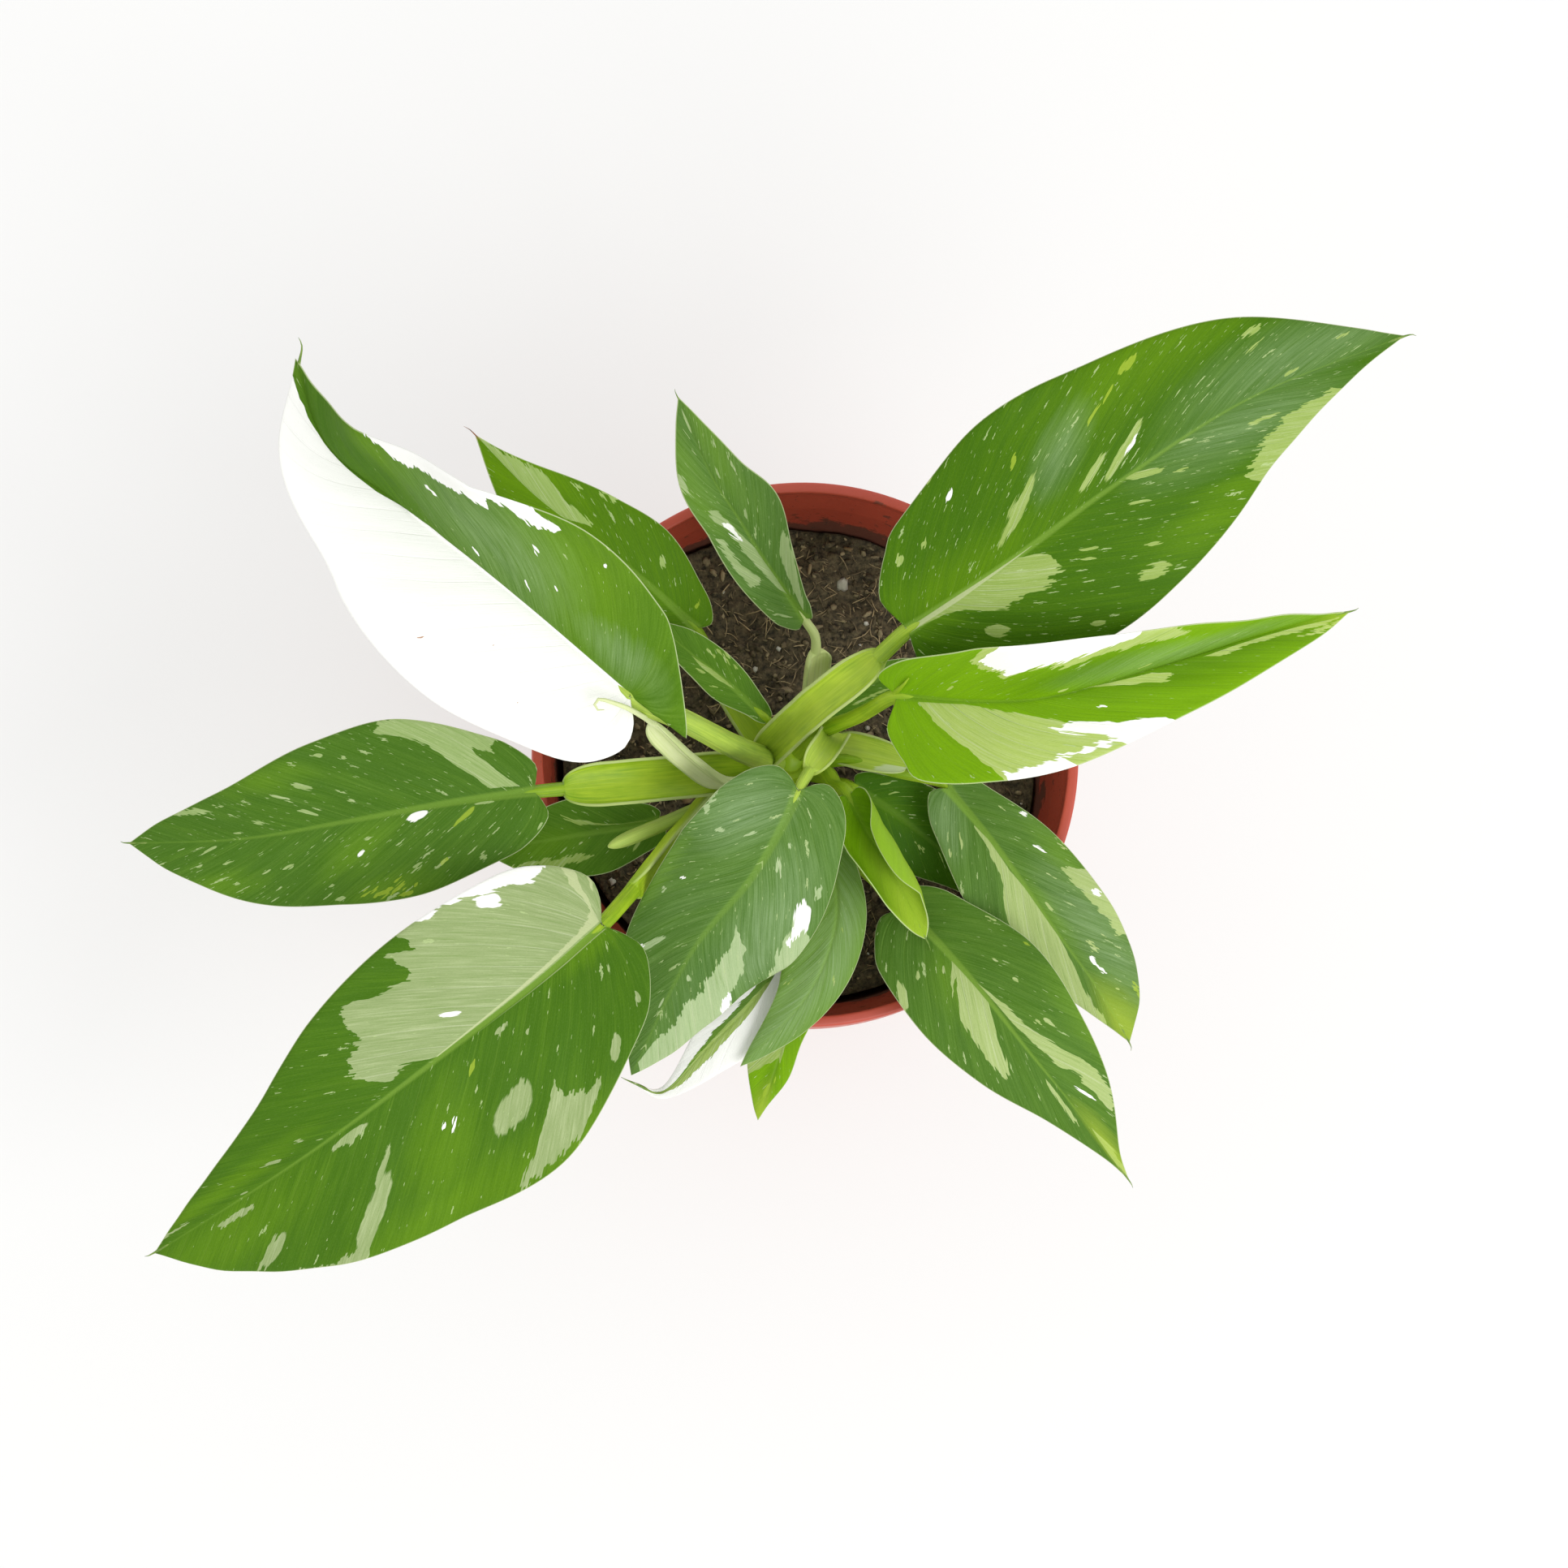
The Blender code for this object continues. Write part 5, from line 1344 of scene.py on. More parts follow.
def make_stalk(name, stalk, seed):
    """A stalk swept along its path, with its sheath as a trough that opens upward."""
    path, tail_start = stalk_path(stalk)
    end_share = 1 if tail_start is None else (tail_start + 2) / path.length
    side = np.cross(UP, path.direction(path.length))
    rings, rims, opens, places = [], [], [], []
    for share in ring_shares(stalk, end_share)[::-1]:
        distance = share * path.length
        tangent = path.direction(distance)
        side = unit(side - tangent * side.dot(tangent))
        upward = np.cross(tangent, side)
        along = min(share / end_share, 1.0)
        radius = stalk.radius[0] + (stalk.radius[1] - stalk.radius[0]) * along
        if stalk.name is None:
            radius *= max(0.2, rounded_end(share, POINT_SHARE))
        if tail_start is not None and distance > tail_start:
            radius *= max(0.15, 1 - ((distance - tail_start) / STALK_TAIL) ** 1.5)
        turn = math.radians(stalk.sheath[4]) if stalk.sheath else 0.0
        right = -side * math.cos(turn) + upward * math.sin(turn)
        raised = upward * math.cos(turn) + side * math.sin(turn)
        half_width, rim = stalk.sheath[2:4] if stalk.sheath else (radius, 0.0)
        opening = sheath_opening(along, stalk.sheath) if distance < path.length - 1 else 0.0
        outline = stalk_section(radius, opening, half_width, rim)
        rings.append([path.at(distance) + right * x + raised * y for x, y, _ in outline])
        rims += [opening * max(0.0, 1 - (1 - edge) / RIM_LINE) for _, _, edge in outline]
        opens += [opening] * len(outline)
        places += [(distance, index) for index in range(len(outline))]
    points = np.array([point for ring in rings for point in ring])
    count = len(rings[0])
    points = points + STALK_UNEVEN * unit(points - points.mean(axis=0)) * ripple(
        points[:, 0], points[:, 2], seed, STALK_UNEVEN_SPAN)[:, None]
    faces = [face[::-1] for face in skin(rings)]
    values = [(places[v][0], places[v][1] / count, 0.0, 0.0) for face in faces for v in face]
    tones = [STALK_TONES.get(stalk.name or name, 0.0)] * len(points)
    white = np.zeros(len(points))
    if name == WHITE_SHEATH:
        along, around = np.array(places).T
        white = np.exp(-((along / path.length - WHITE_ALONG[0]) / WHITE_ALONG[1]) ** 2
                       - ((around / count - WHITE_AROUND[0]) / WHITE_AROUND[1]) ** 2)
    return mesh_piece(name, points, faces, "stem_and_stalks", values,
                      {"rim": rims, "open": opens, "tone": tones, "white": white})


def tube(points, radii, sides=10):
    """Closed mesh of round sections along a smooth curve."""
    path = Path(points)
    side = np.cross(UP, path.direction(0))
    rings = []
    turns = 2 * np.pi * np.arange(sides) / sides
    for share, radius in zip(np.linspace(0, 1, len(radii)), radii):
        distance = share * path.length
        tangent = path.direction(distance)
        side = unit(side - tangent * side.dot(tangent))
        upward = np.cross(tangent, side)
        rings.append([path.at(distance) + (side * math.cos(t) + upward * math.sin(t)) * radius
                      for t in turns])
    return np.array([point for ring in rings for point in ring]), skin(rings)


def make_tip(leaf, material):
    """The thin drip tip in which a blade's midrib runs out."""
    offsets, radius, _ = TIPS[leaf.name]
    spine = Path(leaf.spine)
    inside = [tuple(spine.at(spine.length - back)) for back in TIP_ROOTS]
    points = inside + [tuple(spine.at(spine.length) + np.array(offset)) for offset in offsets[1:]]
    vertices, faces = tube(points, radius * np.array(TIP_TAPER))
    piece = mesh_piece(f"drip_tip_{leaf.name}", vertices, faces, f"blade_{leaf.name}")
    piece.data.materials.append(material)


# The rings that old leaves left on the stem: their depth, how closely they follow each other
# and the height above which they show
STEM_RING_DEPTH = 0.18
STEM_RING_PACE = 2.4
STEM_RINGS_ABOVE = 80

# The pot: the radius of its rounded corners, how far below the lip the groove in its wall lies,
# the sides of its drain holes, and the angle in degrees from which an edge is sharp
CORNER_RADIUS = 0.7
CORNER_STEPS = 5
GROOVE_BELOW_LIP = 16
DRAIN_SIDES = 40
SHARP_ANGLE = 40

# The soil's top: its gap to the pot and stem, its mesh, and its crumbling as scale and height
SOIL_GAP = 0.3
SOIL_SIDES = 220
SOIL_STEPS = 66
SOIL_CRUMBLING = ((9, 0.5), (4.5, 0.4), (2.4, 0.35))

# One large grain of perlite as x, y and size, the sides of a crumb, and a fibre's taper
LARGE_PERLITE = (9.6, 40.6, 1.5)
LUMP_SIDES = 7
FIBRE_TAPER = (0.5, 1, 1, 0.9, 0.8, 0.4)


def make_stem():
    """The short stem with the rings that its old leaves left."""
    profile = []
    for (r0, z0), (r1, z1) in zip(STEM_PROFILE, STEM_PROFILE[1:]):
        steps = 10 if z1 - z0 > 2 else 3
        profile += [(r0 + (r1 - r0) * k / steps, z0 + (z1 - z0) * k / steps) for k in range(steps)]
    profile.append(STEM_PROFILE[-1])
    ringed = [(r + STEM_RING_DEPTH * math.sin(z * STEM_RING_PACE), z)
              if r > 1 and z > STEM_RINGS_ABOVE else (r, z) for r, z in profile]
    vertices, faces = turned(ringed, 48, STEM_AXIS)
    return mesh_piece("stem", vertices, faces, "stem_and_stalks")


def inner_radius(height):
    """Radius of the pot's inner wall at a height below the lip."""
    shoulder = POT_RIM_RADIUS - LIP_STEP
    slope = (shoulder - POT_BASE_RADIUS) / (POT_HEIGHT - LIP_HEIGHT)
    return POT_BASE_RADIUS - POT_WALL + slope * height


def rounded(profile):
    """The profile with each of its corners, other than its two ends, made round."""
    points = np.array(profile, float)
    smooth = [tuple(points[0])]
    for before, corner, after in zip(points, points[1:], points[2:]):
        near = min(CORNER_RADIUS, np.linalg.norm(before - corner) / 2.2)
        far = min(CORNER_RADIUS, np.linalg.norm(after - corner) / 2.2)
        start = corner + unit(before - corner) * near
        end = corner + unit(after - corner) * far
        for t in np.linspace(0, 1, CORNER_STEPS):
            bend = start * (1 - t) ** 2 + corner * 2 * t * (1 - t) + end * t ** 2
            smooth.append(tuple(bend))
    smooth.append(tuple(points[-1]))
    return smooth


def pot_profile():
    """From the middle of the underside, up the outside, over the lip and down the inside."""
    lip_bottom = POT_HEIGHT - LIP_HEIGHT
    shoulder = POT_RIM_RADIUS - LIP_STEP
    band = lip_bottom - GROOVE_BELOW_LIP
    band_radius = POT_BASE_RADIUS + (shoulder - POT_BASE_RADIUS) * band / lip_bottom
    inner = POT_RIM_RADIUS - LIP_WALL
    return [(0, 0), (POT_BASE_RADIUS - 1, 0), (POT_BASE_RADIUS, 1),
            (band_radius - 0.02, band - 0.5), (band_radius - 0.35, band),
            (band_radius + 0.1, band + 0.5), (shoulder, lip_bottom),
            (POT_RIM_RADIUS - LIP_EDGE * 0.4, lip_bottom), (POT_RIM_RADIUS, lip_bottom + 1),
            (POT_RIM_RADIUS, POT_HEIGHT), (inner, POT_HEIGHT), (inner, POT_HEIGHT - 2),
            (inner_radius(lip_bottom + 2), lip_bottom + 2),
            (inner_radius(POT_FLOOR), POT_FLOOR), (0, POT_FLOOR)]


def cut_drains(pot):
    """Cut the drain holes and keep the result as the piece's mesh."""
    cutters = bpy.data.collections.new("drains")
    bpy.context.scene.collection.children.link(cutters)
    for k in range(DRAIN_HOLES):
        turn = 2 * math.pi * (k + 0.5) / DRAIN_HOLES
        centre = (DRAIN_CIRCLE * math.cos(turn), DRAIN_CIRCLE * math.sin(turn))
        profile = [(0, -2), (DRAIN_RADIUS, -2), (DRAIN_RADIUS, POT_FLOOR + 2), (0, POT_FLOOR + 2)]
        vertices, faces = turned(profile, DRAIN_SIDES, centre)
        mesh = bpy.data.meshes.new(f"drain_{k}")
        mesh.from_pydata((vertices * MM).tolist(), [], [face[::-1] for face in faces])
        cutters.objects.link(bpy.data.objects.new(f"drain_{k}", mesh))
    modifier = pot.modifiers.new("drains", "BOOLEAN")
    modifier.operation = "DIFFERENCE"
    modifier.solver = "EXACT"
    modifier.operand_type = "COLLECTION"
    modifier.collection = cutters
    depsgraph = bpy.context.evaluated_depsgraph_get()
    cut = bpy.data.meshes.new_from_object(pot.evaluated_get(depsgraph))
    pot.modifiers.clear()
    pot.data = cut
    cut.set_sharp_from_angle(angle=math.radians(SHARP_ANGLE))
    for cutter in list(cutters.objects):
        bpy.data.objects.remove(cutter)
    bpy.data.collections.remove(cutters)


def soil_height(x, y):
    """Height of the soil's surface, with its slope, its mound round the stem and low lumps."""
    level = SOIL_LEVEL + SOIL_SLOPE[0] * x / POT_RIM_RADIUS + SOIL_SLOPE[1] * y / POT_RIM_RADIUS
    away = np.hypot(x - STEM_AXIS[0], y - STEM_AXIS[1]) / SOIL_MOUND_RADIUS
    lumps = 0.9 * np.sin(0.21 * x + 1.3) * np.cos(0.17 * y - 0.4)
    lumps += 0.5 * np.sin(0.33 * x - 0.29 * y)
    return level + SOIL_MOUND * np.exp(-away ** 2) + lumps


def soil_body():
    """The soil's closed body with its crumbly top and the hole that the stem stands in."""
    turns = 2 * np.pi * np.arange(SOIL_SIDES) / SOIL_SIDES
    circle = np.stack([np.cos(turns), np.sin(turns)], -1)

    def level_ring(place, height):
        return np.column_stack([place, np.full(SOIL_SIDES, height)])

    bottom = POT_FLOOR + SOIL_GAP
    edge = (inner_radius(SOIL_LEVEL - SOIL_EDGE_DROP) - SOIL_GAP) * circle
    inner = np.array(STEM_AXIS) + (STEM_RADIUS + SOIL_GAP) * circle
    rings = [level_ring(circle * (inner_radius(bottom) - SOIL_GAP), bottom)]
    for share in np.linspace(1, 0, SOIL_STEPS):
        place = inner + (edge - inner) * share
        x, y = place.T
        crumbs = sum(ripple(x, y, 40 + k, scale) * high
                     for k, (scale, high) in enumerate(SOIL_CRUMBLING))
        rings.append(np.column_stack([place, soil_height(x, y) + crumbs * min(1, share * 8)]))
    rings.append(level_ring(rings[-1][:, :2], STEM_BOTTOM - SOIL_GAP))
    return np.vstack(rings), skin(rings)


def scattered(draw, count, edge=2.0):
    """Places on the soil's surface, evenly spread up to the pot's wall."""
    radius = (inner_radius(SOIL_LEVEL) - edge) * np.sqrt(draw.uniform(0, 1, count))
    turn = draw.uniform(0, 2 * np.pi, count)
    x, y = radius * np.cos(turn), radius * np.sin(turn)
    return np.column_stack([x, y, soil_height(x, y)])


def turn_matrix(draw):
    """A random rotation."""
    matrix, triangle = np.linalg.qr(draw.normal(size=(3, 3)))
    return matrix * np.sign(np.diag(triangle))


def lump(draw, size, stretch):
    """A small rough stone shape: a ball of a few rings with its points pushed about."""
    heights = (-0.92, -0.5, 0.05, 0.55, 0.93)
    points = [(0, 0, -1.0)]
    for height in heights:
        radius = math.sqrt(1 - height ** 2)
        points += [(radius * math.cos(t), radius * math.sin(t), height)
                   for t in 2 * np.pi * np.arange(LUMP_SIDES) / LUMP_SIDES]
    points.append((0, 0, 1.0))
    points = np.array(points) * (1 + draw.uniform(-0.28, 0.28, (len(points), 1)))
    steps = [(k, (k + 1) % LUMP_SIDES) for k in range(LUMP_SIDES)]
    starts = [1 + ring * LUMP_SIDES for ring in range(len(heights))]
    faces = [(0, 1 + after, 1 + k) for k, after in steps]
    for low, high in zip(starts, starts[1:]):
        faces += [(low + k, low + after, high + after, high + k) for k, after in steps]
    faces += [(starts[-1] + k, starts[-1] + after, len(points) - 1) for k, after in steps]
    return points * size * np.array(stretch) @ turn_matrix(draw).T, faces


def gather(parts):
    """Join many small meshes: points, faces and one tone for each point."""
    points, faces, tones = [], [], []
    count = 0
    for vertices, mesh_faces, tone in parts:
        points.append(vertices)
        faces += [tuple(v + count for v in face) for face in mesh_faces]
        tones += [tone] * len(vertices)
        count += len(vertices)
    return np.vstack(points), faces, tones


def make_crumbs(looks):
    """Crumbs and bark chips of the potting soil."""
    draw = np.random.default_rng(5)
    parts = []
    for place in scattered(draw, looks.crumbs):
        size = 0.3 + 0.8 * draw.random() ** 3
        stretch = draw.uniform((0.7, 0.5, 0.3), (2.2, 1.1, 0.9))
        vertices, faces = lump(draw, size, stretch)
        parts.append((vertices + place + (0, 0, size * 0.25), faces, draw.random()))
    for place in scattered(draw, looks.crumbs // 60, 4.0):
        size = draw.uniform(0.9, 2.1)
        vertices, faces = lump(draw, size, (1.4, 0.8, 0.35))
        parts.append((vertices + place + (0, 0, 0.5), faces, 1.3 + draw.random() * 0.5))
    return gather(parts)


def make_fibres(looks):
    """Roots and peat fibres that lie on the soil."""
    draw = np.random.default_rng(9)
    parts = []
    for place in scattered(draw, looks.fibres, 5.0):
        length = 1.2 + 4.0 * draw.random() ** 2
        heading = draw.uniform(0, 2 * np.pi)
        radius = draw.uniform(0.06, 0.15)
        curve = draw.uniform(-0.6, 0.6)
        points = []
        for share in np.linspace(-0.5, 0.5, 4):
            bend = heading + share * curve
            x = place[0] + math.cos(bend) * length * share
            y = place[1] + math.sin(bend) * length * share
            rise = 0.25 + draw.uniform(0, 0.5)
            points.append((x, y, float(soil_height(x, y)) + rise))
        vertices, faces = tube(points, radius * np.array(FIBRE_TAPER), 5)
        parts.append((vertices, faces, draw.random()))
    return gather(parts)


def make_perlite(looks):
    """White grains of perlite among the crumbs, one of them large."""
    draw = np.random.default_rng(21)
    parts = []
    places = [LARGE_PERLITE, *[(*place[:2], 0.3 + 0.6 * draw.random() ** 2)
                               for place in scattered(draw, looks.perlite, 3.0)]]
    for x, y, size in places:
        vertices, faces = lump(draw, size, draw.uniform(0.7, 1.2, 3))
        parts.append((vertices + (x, y, float(soil_height(x, y)) + 0.5), faces, draw.random()))
    return gather(parts)


# Tints that have no setting, the first of them painted shade down an open sheath's trough, and
# where a sheath's trough has its middle, as a share of the way round the outline
TROUGH_PAINTED_SHADE = (0.20, 0.30, 0.014)
STALK_CREAM = (0.78, 0.83, 0.50)
SHEATH_WHITE = (0.56, 0.64, 0.40)
DUST = (0.62, 0.42, 0.36)
BARK = (0.26, 0.16, 0.07)
FIBRE = ((0.06, 0.045, 0.024), (0.60, 0.46, 0.25))
PERLITE = ((0.42, 0.40, 0.32), (0.74, 0.73, 0.66))
GREEN_TIP = ((0.10, 0.20, 0.02), (0.24, 0.34, 0.05))
BROWN_TIP = ((0.10, 0.05, 0.03), (0.42, 0.16, 0.06))
TROUGH_MIDDLE = 0.79


def stalk_material(looks):
    """Smooth lime-green stalk, with fine lengthwise lines, pale rims on its sheath and painted
    shade in its trough.
    """
    made, tree, surface = new_material("stalk_skin")
    along, around = split(tree, add(tree, "ShaderNodeUVMap", uv_map="Vein"))
    along, around = along / UV_UNIT, around / UV_UNIT
    lines = noise(tree, vector(tree, along / 14, around * 46), 1.0, 4.0, 0.65)
    wide = noise(tree, vector(tree, along / 9, around * 12), 1.0, 2.0)
    coarse = noise(tree, object_place(tree), 120.0, 3.0)
    tone, opened = reading(tree, "tone"), reading(tree, "open")
    shade = (lines - 0.5) * 1.5 + (wide - 0.5) * 0.8 + (coarse - 0.5) * 0.8 + 0.38
    shade = (shade + opened * 0.3 + tone * 0.5).clamp()
    colour = shade.mixed(looks.stalk_green, looks.stalk_lime)
    # Painted shade: darker olive green down the middle of an open sheath's trough, streaked by the
    # lines.
    trough = (abs(around - TROUGH_MIDDLE) * -9 + 1).clamp() * opened
    colour = (trough * (lines * 0.45) * (tone * -1 + 0.9).clamp()).mixed(colour, TROUGH_PAINTED_SHADE)
    colour = (tone * 0.7 + tone * (lines - 0.5) * 0.8).clamp().mixed(colour, STALK_CREAM)
    middle = (abs(around - TROUGH_MIDDLE) * -60 + 1).clamp() * opened * tone.clamp()
    colour = (middle * 0.8).mixed(colour, looks.rim_pale)
    patch = ((reading(tree, "white") + (lines - 0.5) * 0.5 - 0.42) * 9).clamp()
    colour = (patch * 0.8).mixed(colour, SHEATH_WHITE)
    colour = (reading(tree, "rim") * 0.8).clamp().mixed(colour, looks.rim_pale)
    surface.inputs["Specular IOR Level"].default_value = 0.3
    finish(tree, surface, colour, (lines - 0.5) * 0.15 + 0.42, lines, 0.6, 0.0002)
    return made


def tip_material(name, inner, outer):
    """The drip tip of a leaf, drying towards its point."""
    made, tree, surface = new_material(name)
    shade = noise(tree, object_place(tree), 900.0, 3.0)
    plug(surface.inputs["Base Color"], ((shade - 0.3) * 2).clamp().mixed(inner, outer))
    surface.inputs["Roughness"].default_value = 0.5
    return made


def pot_material(looks):
    """Satin terracotta-red plastic with fine scuffs, dust and soil marks on its inner wall."""
    made, tree, surface = new_material("pot_plastic")
    place = object_place(tree)
    geometry = tree.nodes.new("ShaderNodeNewGeometry")
    x, y = split(tree, Term(tree, geometry.outputs["Normal"]))
    px, py = split(tree, place)
    inward = ((x * px + y * py) * -40).clamp()
    cloud = noise(tree, place, 60.0, 4.0, 0.6)
    fine = noise(tree, place, 900.0, 3.0, 0.6)
    colour = ((cloud - 0.5) * 1.2 + 0.5).clamp().mixed(looks.red_deep, looks.red_light)
    height = add(tree, "ShaderNodeSeparateXYZ", {"Vector": place}, output=2) * 1000
    damp = ((height * -1 + 90) / 3 + (noise(tree, place, 110.0, 5.0, 0.7) - 0.5) * 12).clamp()
    spatter = ((noise(tree, place, 330.0, 4.0, 0.7) - 0.62) * 16).clamp()
    dirt = inward * (damp * 0.8 + spatter * 0.7).clamp()
    colour = dirt.mixed(colour, looks.dirt)
    dust = ((noise(tree, place, 500.0, 5.0, 0.75) - 0.62) * 8).clamp() * 0.15
    colour = dust.mixed(colour, DUST)
    roughness = (fine - 0.5) * 0.2 + 0.42 + dirt * 0.3
    finish(tree, surface, colour, roughness, fine * 0.6 + cloud, 0.35, 0.0002)
    return made


def soil_material(name, looks, use_tone):
    """Moist peat: dark brown with lighter crumbs and fine grain."""
    made, tree, surface = new_material(name)
    place = object_place(tree)
    grain = noise(tree, place, 700.0, 5.0, 0.7)
    shade = ((grain - 0.37) * 2.6).clamp()
    colour = shade.mixed(looks.dark, looks.brown)
    if use_tone:
        tone = reading(tree, "tone")
        colour = ((tone - 0.5) * 1.5).clamp().mixed(colour, looks.light)
        colour = (((tone - 1.2) * 3).clamp() * 0.8).mixed(colour, BARK)
    finish(tree, surface, colour, 0.9, grain, 0.9, 0.0006)
    return made


def grain_material(name, low, high, scale, roughness):
    """Perlite or fibre: two tones mixed by a fine grain."""
    made, tree, surface = new_material(name)
    grain = noise(tree, object_place(tree), scale, 4.0, 0.65)
    colour = ((grain - 0.5) * 1.5 + reading(tree, "tone")).clamp().mixed(low, high)
    finish(tree, surface, colour, roughness, grain, 0.7, 0.0003)
    return made


def colour_property(name, description, value):
    return FloatVectorProperty(name=name, description=description, default=value, size=3,
                               subtype="COLOR", min=0.0, max=1.0)


class LeafLooks(bpy.types.PropertyGroup):
    deep_green: colour_property("Deep green", "Older green tissue", (0.055, 0.150, 0.004))
    fresh_green: colour_property("Fresh green", "Younger green tissue", (0.150, 0.310, 0.003))
    yellow: colour_property("Yellow-green", "Yellowish blotches and tips", (0.42, 0.56, 0.05))
    white: colour_property("White", "Fully variegated tissue", (0.93, 0.93, 0.89))
    lime: colour_property("Midrib lime", "Midrib", (0.22, 0.38, 0.05))
    roughness: FloatProperty(name="Roughness", description="Dullness of the leaf skin",
                             default=0.46, min=0.05, max=1.0, subtype="FACTOR")
    speck_amount: FloatProperty(name="Specks", description="How many small pale dashes a leaf has",
                                default=1.0, min=0.0, max=3.0, subtype="FACTOR")
    margin_width: FloatProperty(name="Margin", description="Width of the pale line on the margin",
                                default=0.0002, min=0.0, max=0.002, unit="LENGTH")


class StalkLooks(bpy.types.PropertyGroup):
    stalk_green: colour_property("Stalk green", "Darker side of the stalks", (0.18, 0.34, 0.006))
    stalk_lime: colour_property("Stalk lime", "Lighter side of the stalks", (0.48, 0.64, 0.03))
    rim_pale: colour_property("Sheath rim", "Pale line on a sheath's rims", (0.52, 0.62, 0.24))


class PotLooks(bpy.types.PropertyGroup):
    red_deep: colour_property("Deep red", "Darker patches of the plastic", (0.47, 0.062, 0.034))
    red_light: colour_property("Light red", "Lighter patches of the plastic", (0.60, 0.090, 0.052))
    dirt: colour_property("Soil marks", "Dried soil on the inner wall", (0.075, 0.045, 0.03))
    sides: IntProperty(name="Sides", description="Sides of the turned pot", default=192, min=48,
                       max=360)


class SoilLooks(bpy.types.PropertyGroup):
    dark: colour_property("Dark peat", "Moist dark soil", (0.027, 0.022, 0.012))
    brown: colour_property("Brown peat", "Drier soil", (0.22, 0.17, 0.09))
    light: colour_property("Light crumbs", "Lightest crumbs", (0.54, 0.43, 0.25))
    crumbs: IntProperty(name="Crumbs", description="Number of crumbs", default=2700, min=0,
                        max=2800)
    fibres: IntProperty(name="Fibres", description="Number of fibres", default=1700, min=0,
                        max=2500)
    perlite: IntProperty(name="Perlite", description="Number of white grains", default=46, min=0,
                         max=400)


class StageLooks(bpy.types.PropertyGroup):
    floor_size: FloatProperty(name="Floor", description="Radius of the floor", default=4.0,
                              min=0.5, max=10.0, unit="LENGTH")
    floor_colour: colour_property("Floor colour", "Plain pale floor", (0.42, 0.42, 0.415))
    sky: FloatProperty(name="Sky", description="Strength of the even light", default=0.90, min=0.0,
                       max=4.0)
    key: FloatProperty(name="Key light", description="Power of the soft main light", default=17.0,
                       min=0.0, max=500.0, unit="POWER")


# The camera above the plant, where it looks, and its sensor and lens
EYE = (-75, -112, 1105)
LOOK = (-4.96, -6.9, 105)
SENSOR = 36.0
LENS = SENSOR * 5.65 * 1005.5 / 1932

FLOOR_SIDES = 64
FLOOR_GLOW = 0.505
KEY_PLACE = (0.8, -0.8, 1.7)
KEY_SIZE = 1.2
KEY_AIM = (0, 0, 0.12)


class PLANT_OT_stage(bpy.types.Operator):
    """Make the floor, the lights and the camera above the plant"""
    bl_idname = "plant.stage"
    bl_label = "Stage"

    def execute(self, context):
        looks = context.scene.plant_stage
        vertices = [(0, 0, 0)]
        for radius in (0.3, 1.0):
            vertices += [(radius * looks.floor_size * math.cos(t),
                          radius * looks.floor_size * math.sin(t), 0)
                         for t in 2 * np.pi * np.arange(FLOOR_SIDES) / FLOOR_SIDES]
        steps = [(1 + k, 1 + (k + 1) % FLOOR_SIDES) for k in range(FLOOR_SIDES)]
        faces = [(0, k, after) for k, after in steps]
        faces += [(k, k + FLOOR_SIDES, after + FLOOR_SIDES, after) for k, after in steps]
        mesh = bpy.data.meshes.new("floor")
        mesh.from_pydata(vertices, [], faces)
        floor = bpy.data.objects.new("floor", mesh)
        context.scene.collection.objects.link(floor)
        made, tree, surface = new_material("floor_paper")
        shade = noise(tree, object_place(tree), 6.0, 2.0)
        warm = tuple(0.985 * value for value in looks.floor_colour)
        plug(surface.inputs["Base Color"], shade.mixed(tuple(looks.floor_colour), warm))
        surface.inputs["Roughness"].default_value = 0.9
        surface.inputs["Emission Color"].default_value = (1.0, 1.0, 0.99, 1.0)
        surface.inputs["Emission Strength"].default_value = FLOOR_GLOW
        mesh.materials.append(made)
        world = bpy.data.worlds.new("studio")
        world.use_nodes = True
        sky = world.node_tree.nodes["Background"]
        sky.inputs["Color"].default_value = (1.0, 1.0, 1.0, 1.0)
        sky.inputs["Strength"].default_value = looks.sky
        context.scene.world = world
        self.light(context, looks.key)
        self.camera(context)
        context.scene.view_settings.view_transform = "Standard"
        return {"FINISHED"}

    def light(self, context, power):
        data = bpy.data.lights.new("key", "AREA")
        data.shape = "DISK"
        data.size = KEY_SIZE
        data.energy = power
        lamp = bpy.data.objects.new("key", data)
        lamp.location = KEY_PLACE
        aim = Vector(KEY_AIM) - lamp.location
        lamp.rotation_euler = aim.to_track_quat("-Z", "Y").to_euler()
        context.scene.collection.objects.link(lamp)

    def camera(self, context):
        data = bpy.data.cameras.new("camera")
        data.sensor_width = SENSOR
        data.lens = LENS
        forward = unit(np.array(LOOK, float) - EYE)
        right = unit(np.cross(forward, (0, 1, 0)))
        upward = np.cross(right, forward)
        rows = np.column_stack([right, upward, -forward, np.array(EYE) * MM])
        camera = bpy.data.objects.new("camera", data)
        camera.matrix_world = Matrix([*map(list, rows), [0, 0, 0, 1]])
        context.scene.collection.objects.link(camera)
        context.scene.camera = camera


class PLANT_OT_pot(bpy.types.Operator):
    """Make the round nursery pot with its lip and drain holes"""
    bl_idname = "plant.pot"
    bl_label = "Pot"

    def execute(self, context):
        looks = context.scene.plant_pot
        vertices, faces = turned(rounded(pot_profile()), looks.sides)
        pot = mesh_piece("nursery_pot", vertices, [face[::-1] for face in faces], "pot")
        cut_drains(pot)
        pot.data.materials.clear()
        pot.data.materials.append(pot_material(looks))
        return {"FINISHED"}


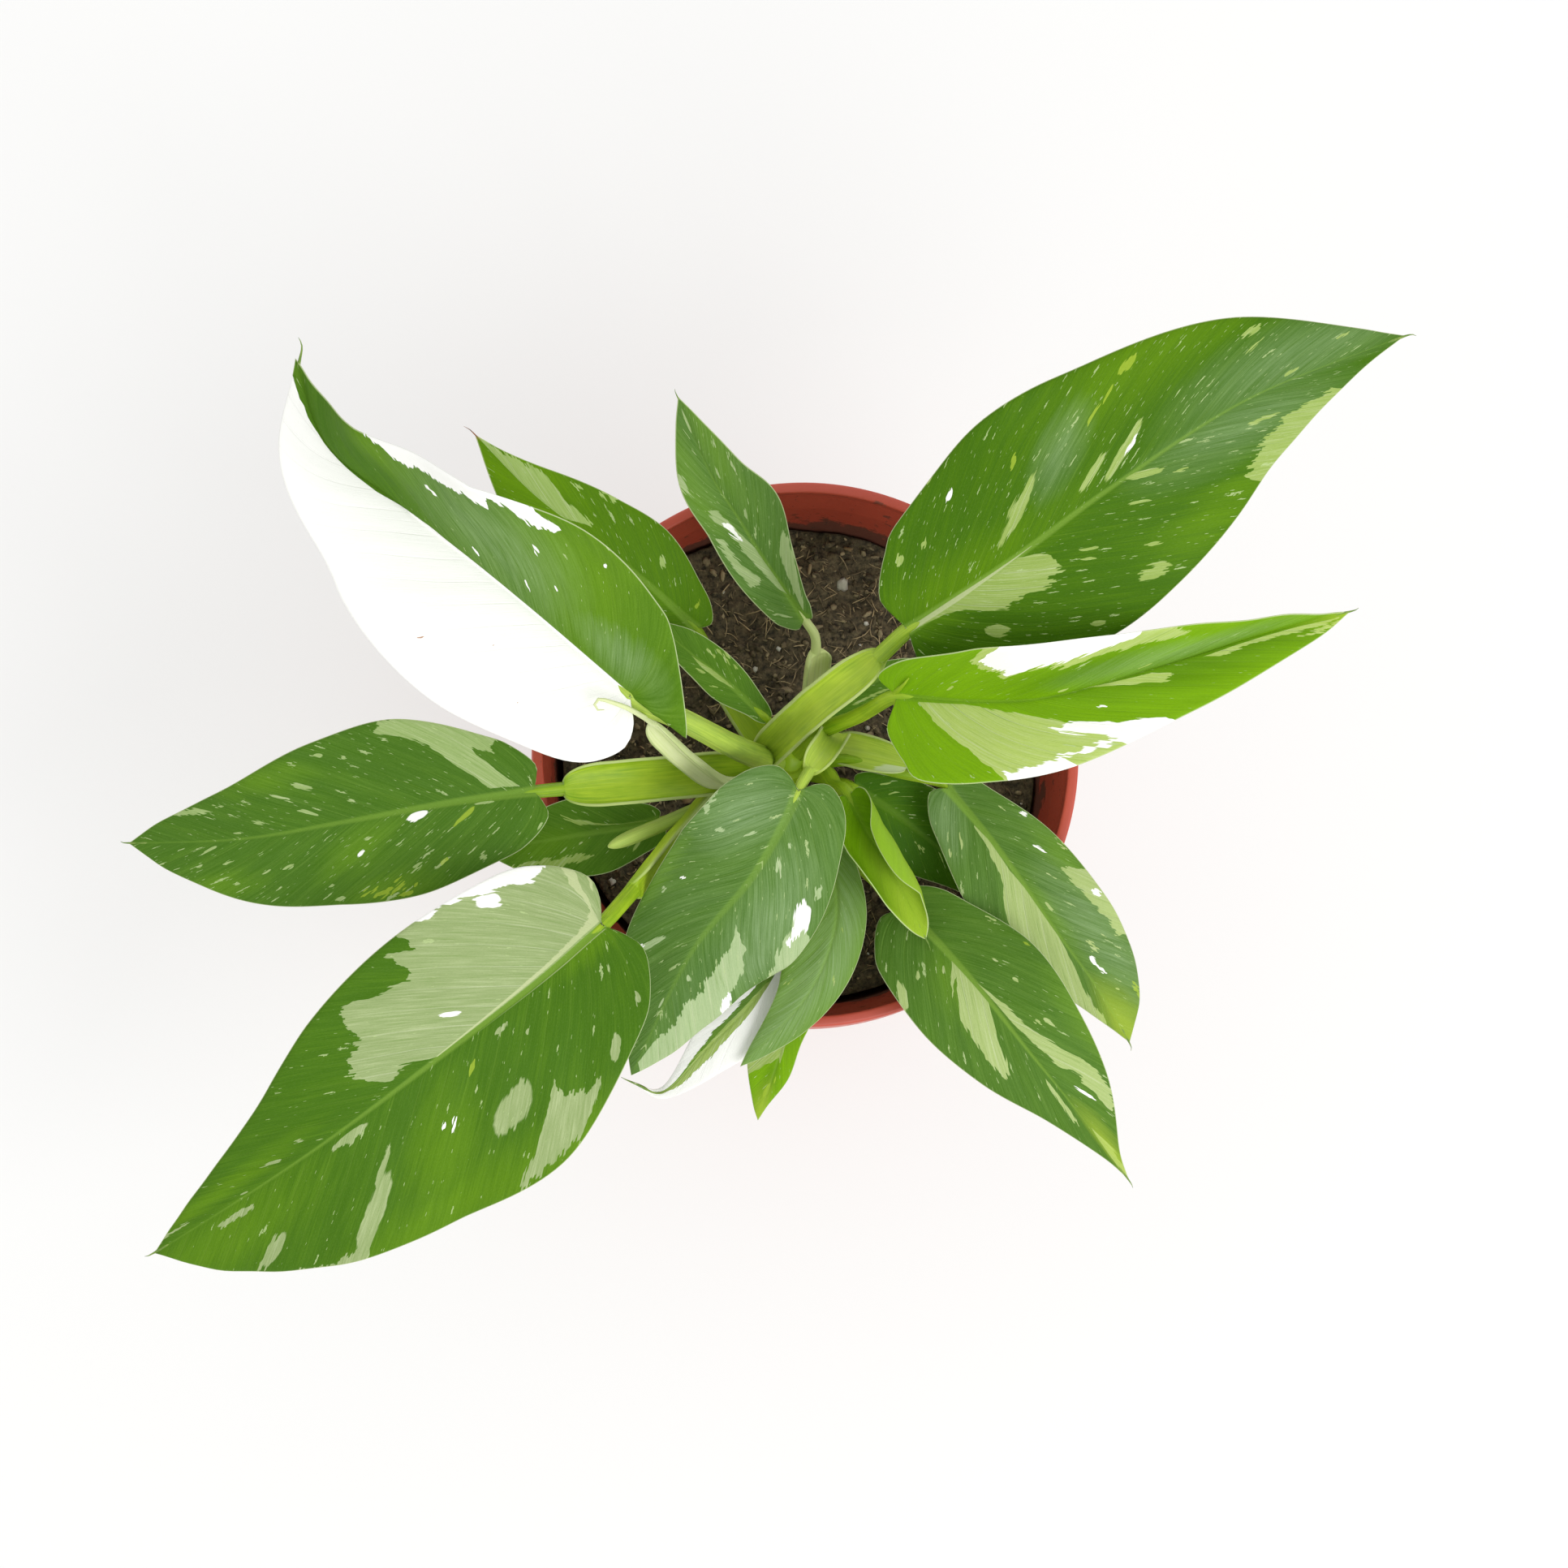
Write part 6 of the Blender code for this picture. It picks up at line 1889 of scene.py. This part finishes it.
class PLANT_OT_soil(bpy.types.Operator):
    """Make the potting soil with its crumbs, bark, fibres and perlite"""
    bl_idname = "plant.soil"
    bl_label = "Soil"

    def execute(self, context):
        looks = context.scene.plant_soil
        vertices, faces = soil_body()
        soil = mesh_piece("peat", vertices, faces, "soil")
        soil.data.materials.append(soil_material("peat", looks, False))
        crumb = soil_material("crumbs", looks, True)
        fibre = grain_material("fibres", *FIBRE, 500.0, 0.8)
        perlite = grain_material("perlite", *PERLITE, 800.0, 0.85)
        for name, parts, material in (("soil_crumbs", make_crumbs(looks), crumb),
                                      ("soil_fibres", make_fibres(looks), fibre),
                                      ("soil_perlite", make_perlite(looks), perlite)):
            points, faces, tones = parts
            piece = mesh_piece(name, points, faces, "soil", None, {"tone": tones})
            piece.data.materials.append(material)
        return {"FINISHED"}


class PLANT_OT_stalks(bpy.types.Operator):
    """Make the stem, the leaf stalks with their sheaths and the bare sheaths"""
    bl_idname = "plant.stalks"
    bl_label = "Stem and stalks"

    def execute(self, context):
        material = stalk_material(context.scene.plant_stalk)
        pieces = [make_stem()]
        for seed, stalk in enumerate(STALKS):
            pieces.append(make_stalk(f"stalk_{stalk.name}", stalk, seed))
        for seed, (name, stalk) in enumerate(BARE_SHEATHS.items(), 60):
            pieces.append(make_stalk(name, stalk, seed))
        vertices, faces = tube(PETIOLE_FLAP, FLAP_RADII)
        pieces.append(mesh_piece("petiole_flap", vertices, faces, "stem_and_stalks"))
        for piece in pieces:
            piece.data.materials.append(material)
        return {"FINISHED"}


class PLANT_OT_blades(bpy.types.Operator):
    """Make the leaf blades with their veins, variegation and drip tips"""
    bl_idname = "plant.blades"
    bl_label = "Leaf blades"

    def execute(self, context):
        looks = context.scene.plant_leaf
        groups = blade_groups()
        green_tip = tip_material("drip_tip_green", *GREEN_TIP)
        brown_tip = tip_material("drip_tip_brown", *BROWN_TIP)
        for seed, leaf in enumerate(LEAVES):
            points, faces, values, under = blade_shell(leaf, MARKS[leaf.name].slant, seed + 100)
            piece = mesh_piece(f"leaf_{leaf.name}", points, faces, f"blade_{leaf.name}",
                               values, {"under": under})
            piece.data.materials.append(blade_material(leaf, groups, looks, seed))
            if leaf.name in TIPS:
                make_tip(leaf, brown_tip if TIPS[leaf.name][2] else green_tip)
        return {"FINISHED"}


OPERATORS = (PLANT_OT_pot, PLANT_OT_soil, PLANT_OT_stalks, PLANT_OT_blades, PLANT_OT_stage)


class PLANT_PT_panel(bpy.types.Panel):
    """Lists the plant's pieces"""
    bl_idname = "PLANT_PT_panel"
    bl_label = "Potted philodendron"
    bl_space_type = "VIEW_3D"
    bl_region_type = "UI"
    bl_category = "Philodendron"

    def draw(self, context):
        for operator in OPERATORS:
            self.layout.operator(operator.bl_idname)


LOOKS = {"plant_leaf": LeafLooks, "plant_stalk": StalkLooks, "plant_pot": PotLooks,
         "plant_soil": SoilLooks, "plant_stage": StageLooks}
CLASSES = (*LOOKS.values(), *OPERATORS, PLANT_PT_panel)


def register():
    for made in CLASSES:
        bpy.utils.register_class(made)
    for name, looks in LOOKS.items():
        setattr(bpy.types.Scene, name, PointerProperty(type=looks))


def unregister():
    for name in LOOKS:
        delattr(bpy.types.Scene, name)
    for made in reversed(CLASSES):
        bpy.utils.unregister_class(made)


def main():
    register()
    for name in ("pot", "soil", "stalks", "blades", "stage"):
        getattr(bpy.ops.plant, name)()


if __name__ == "__main__":
    main()
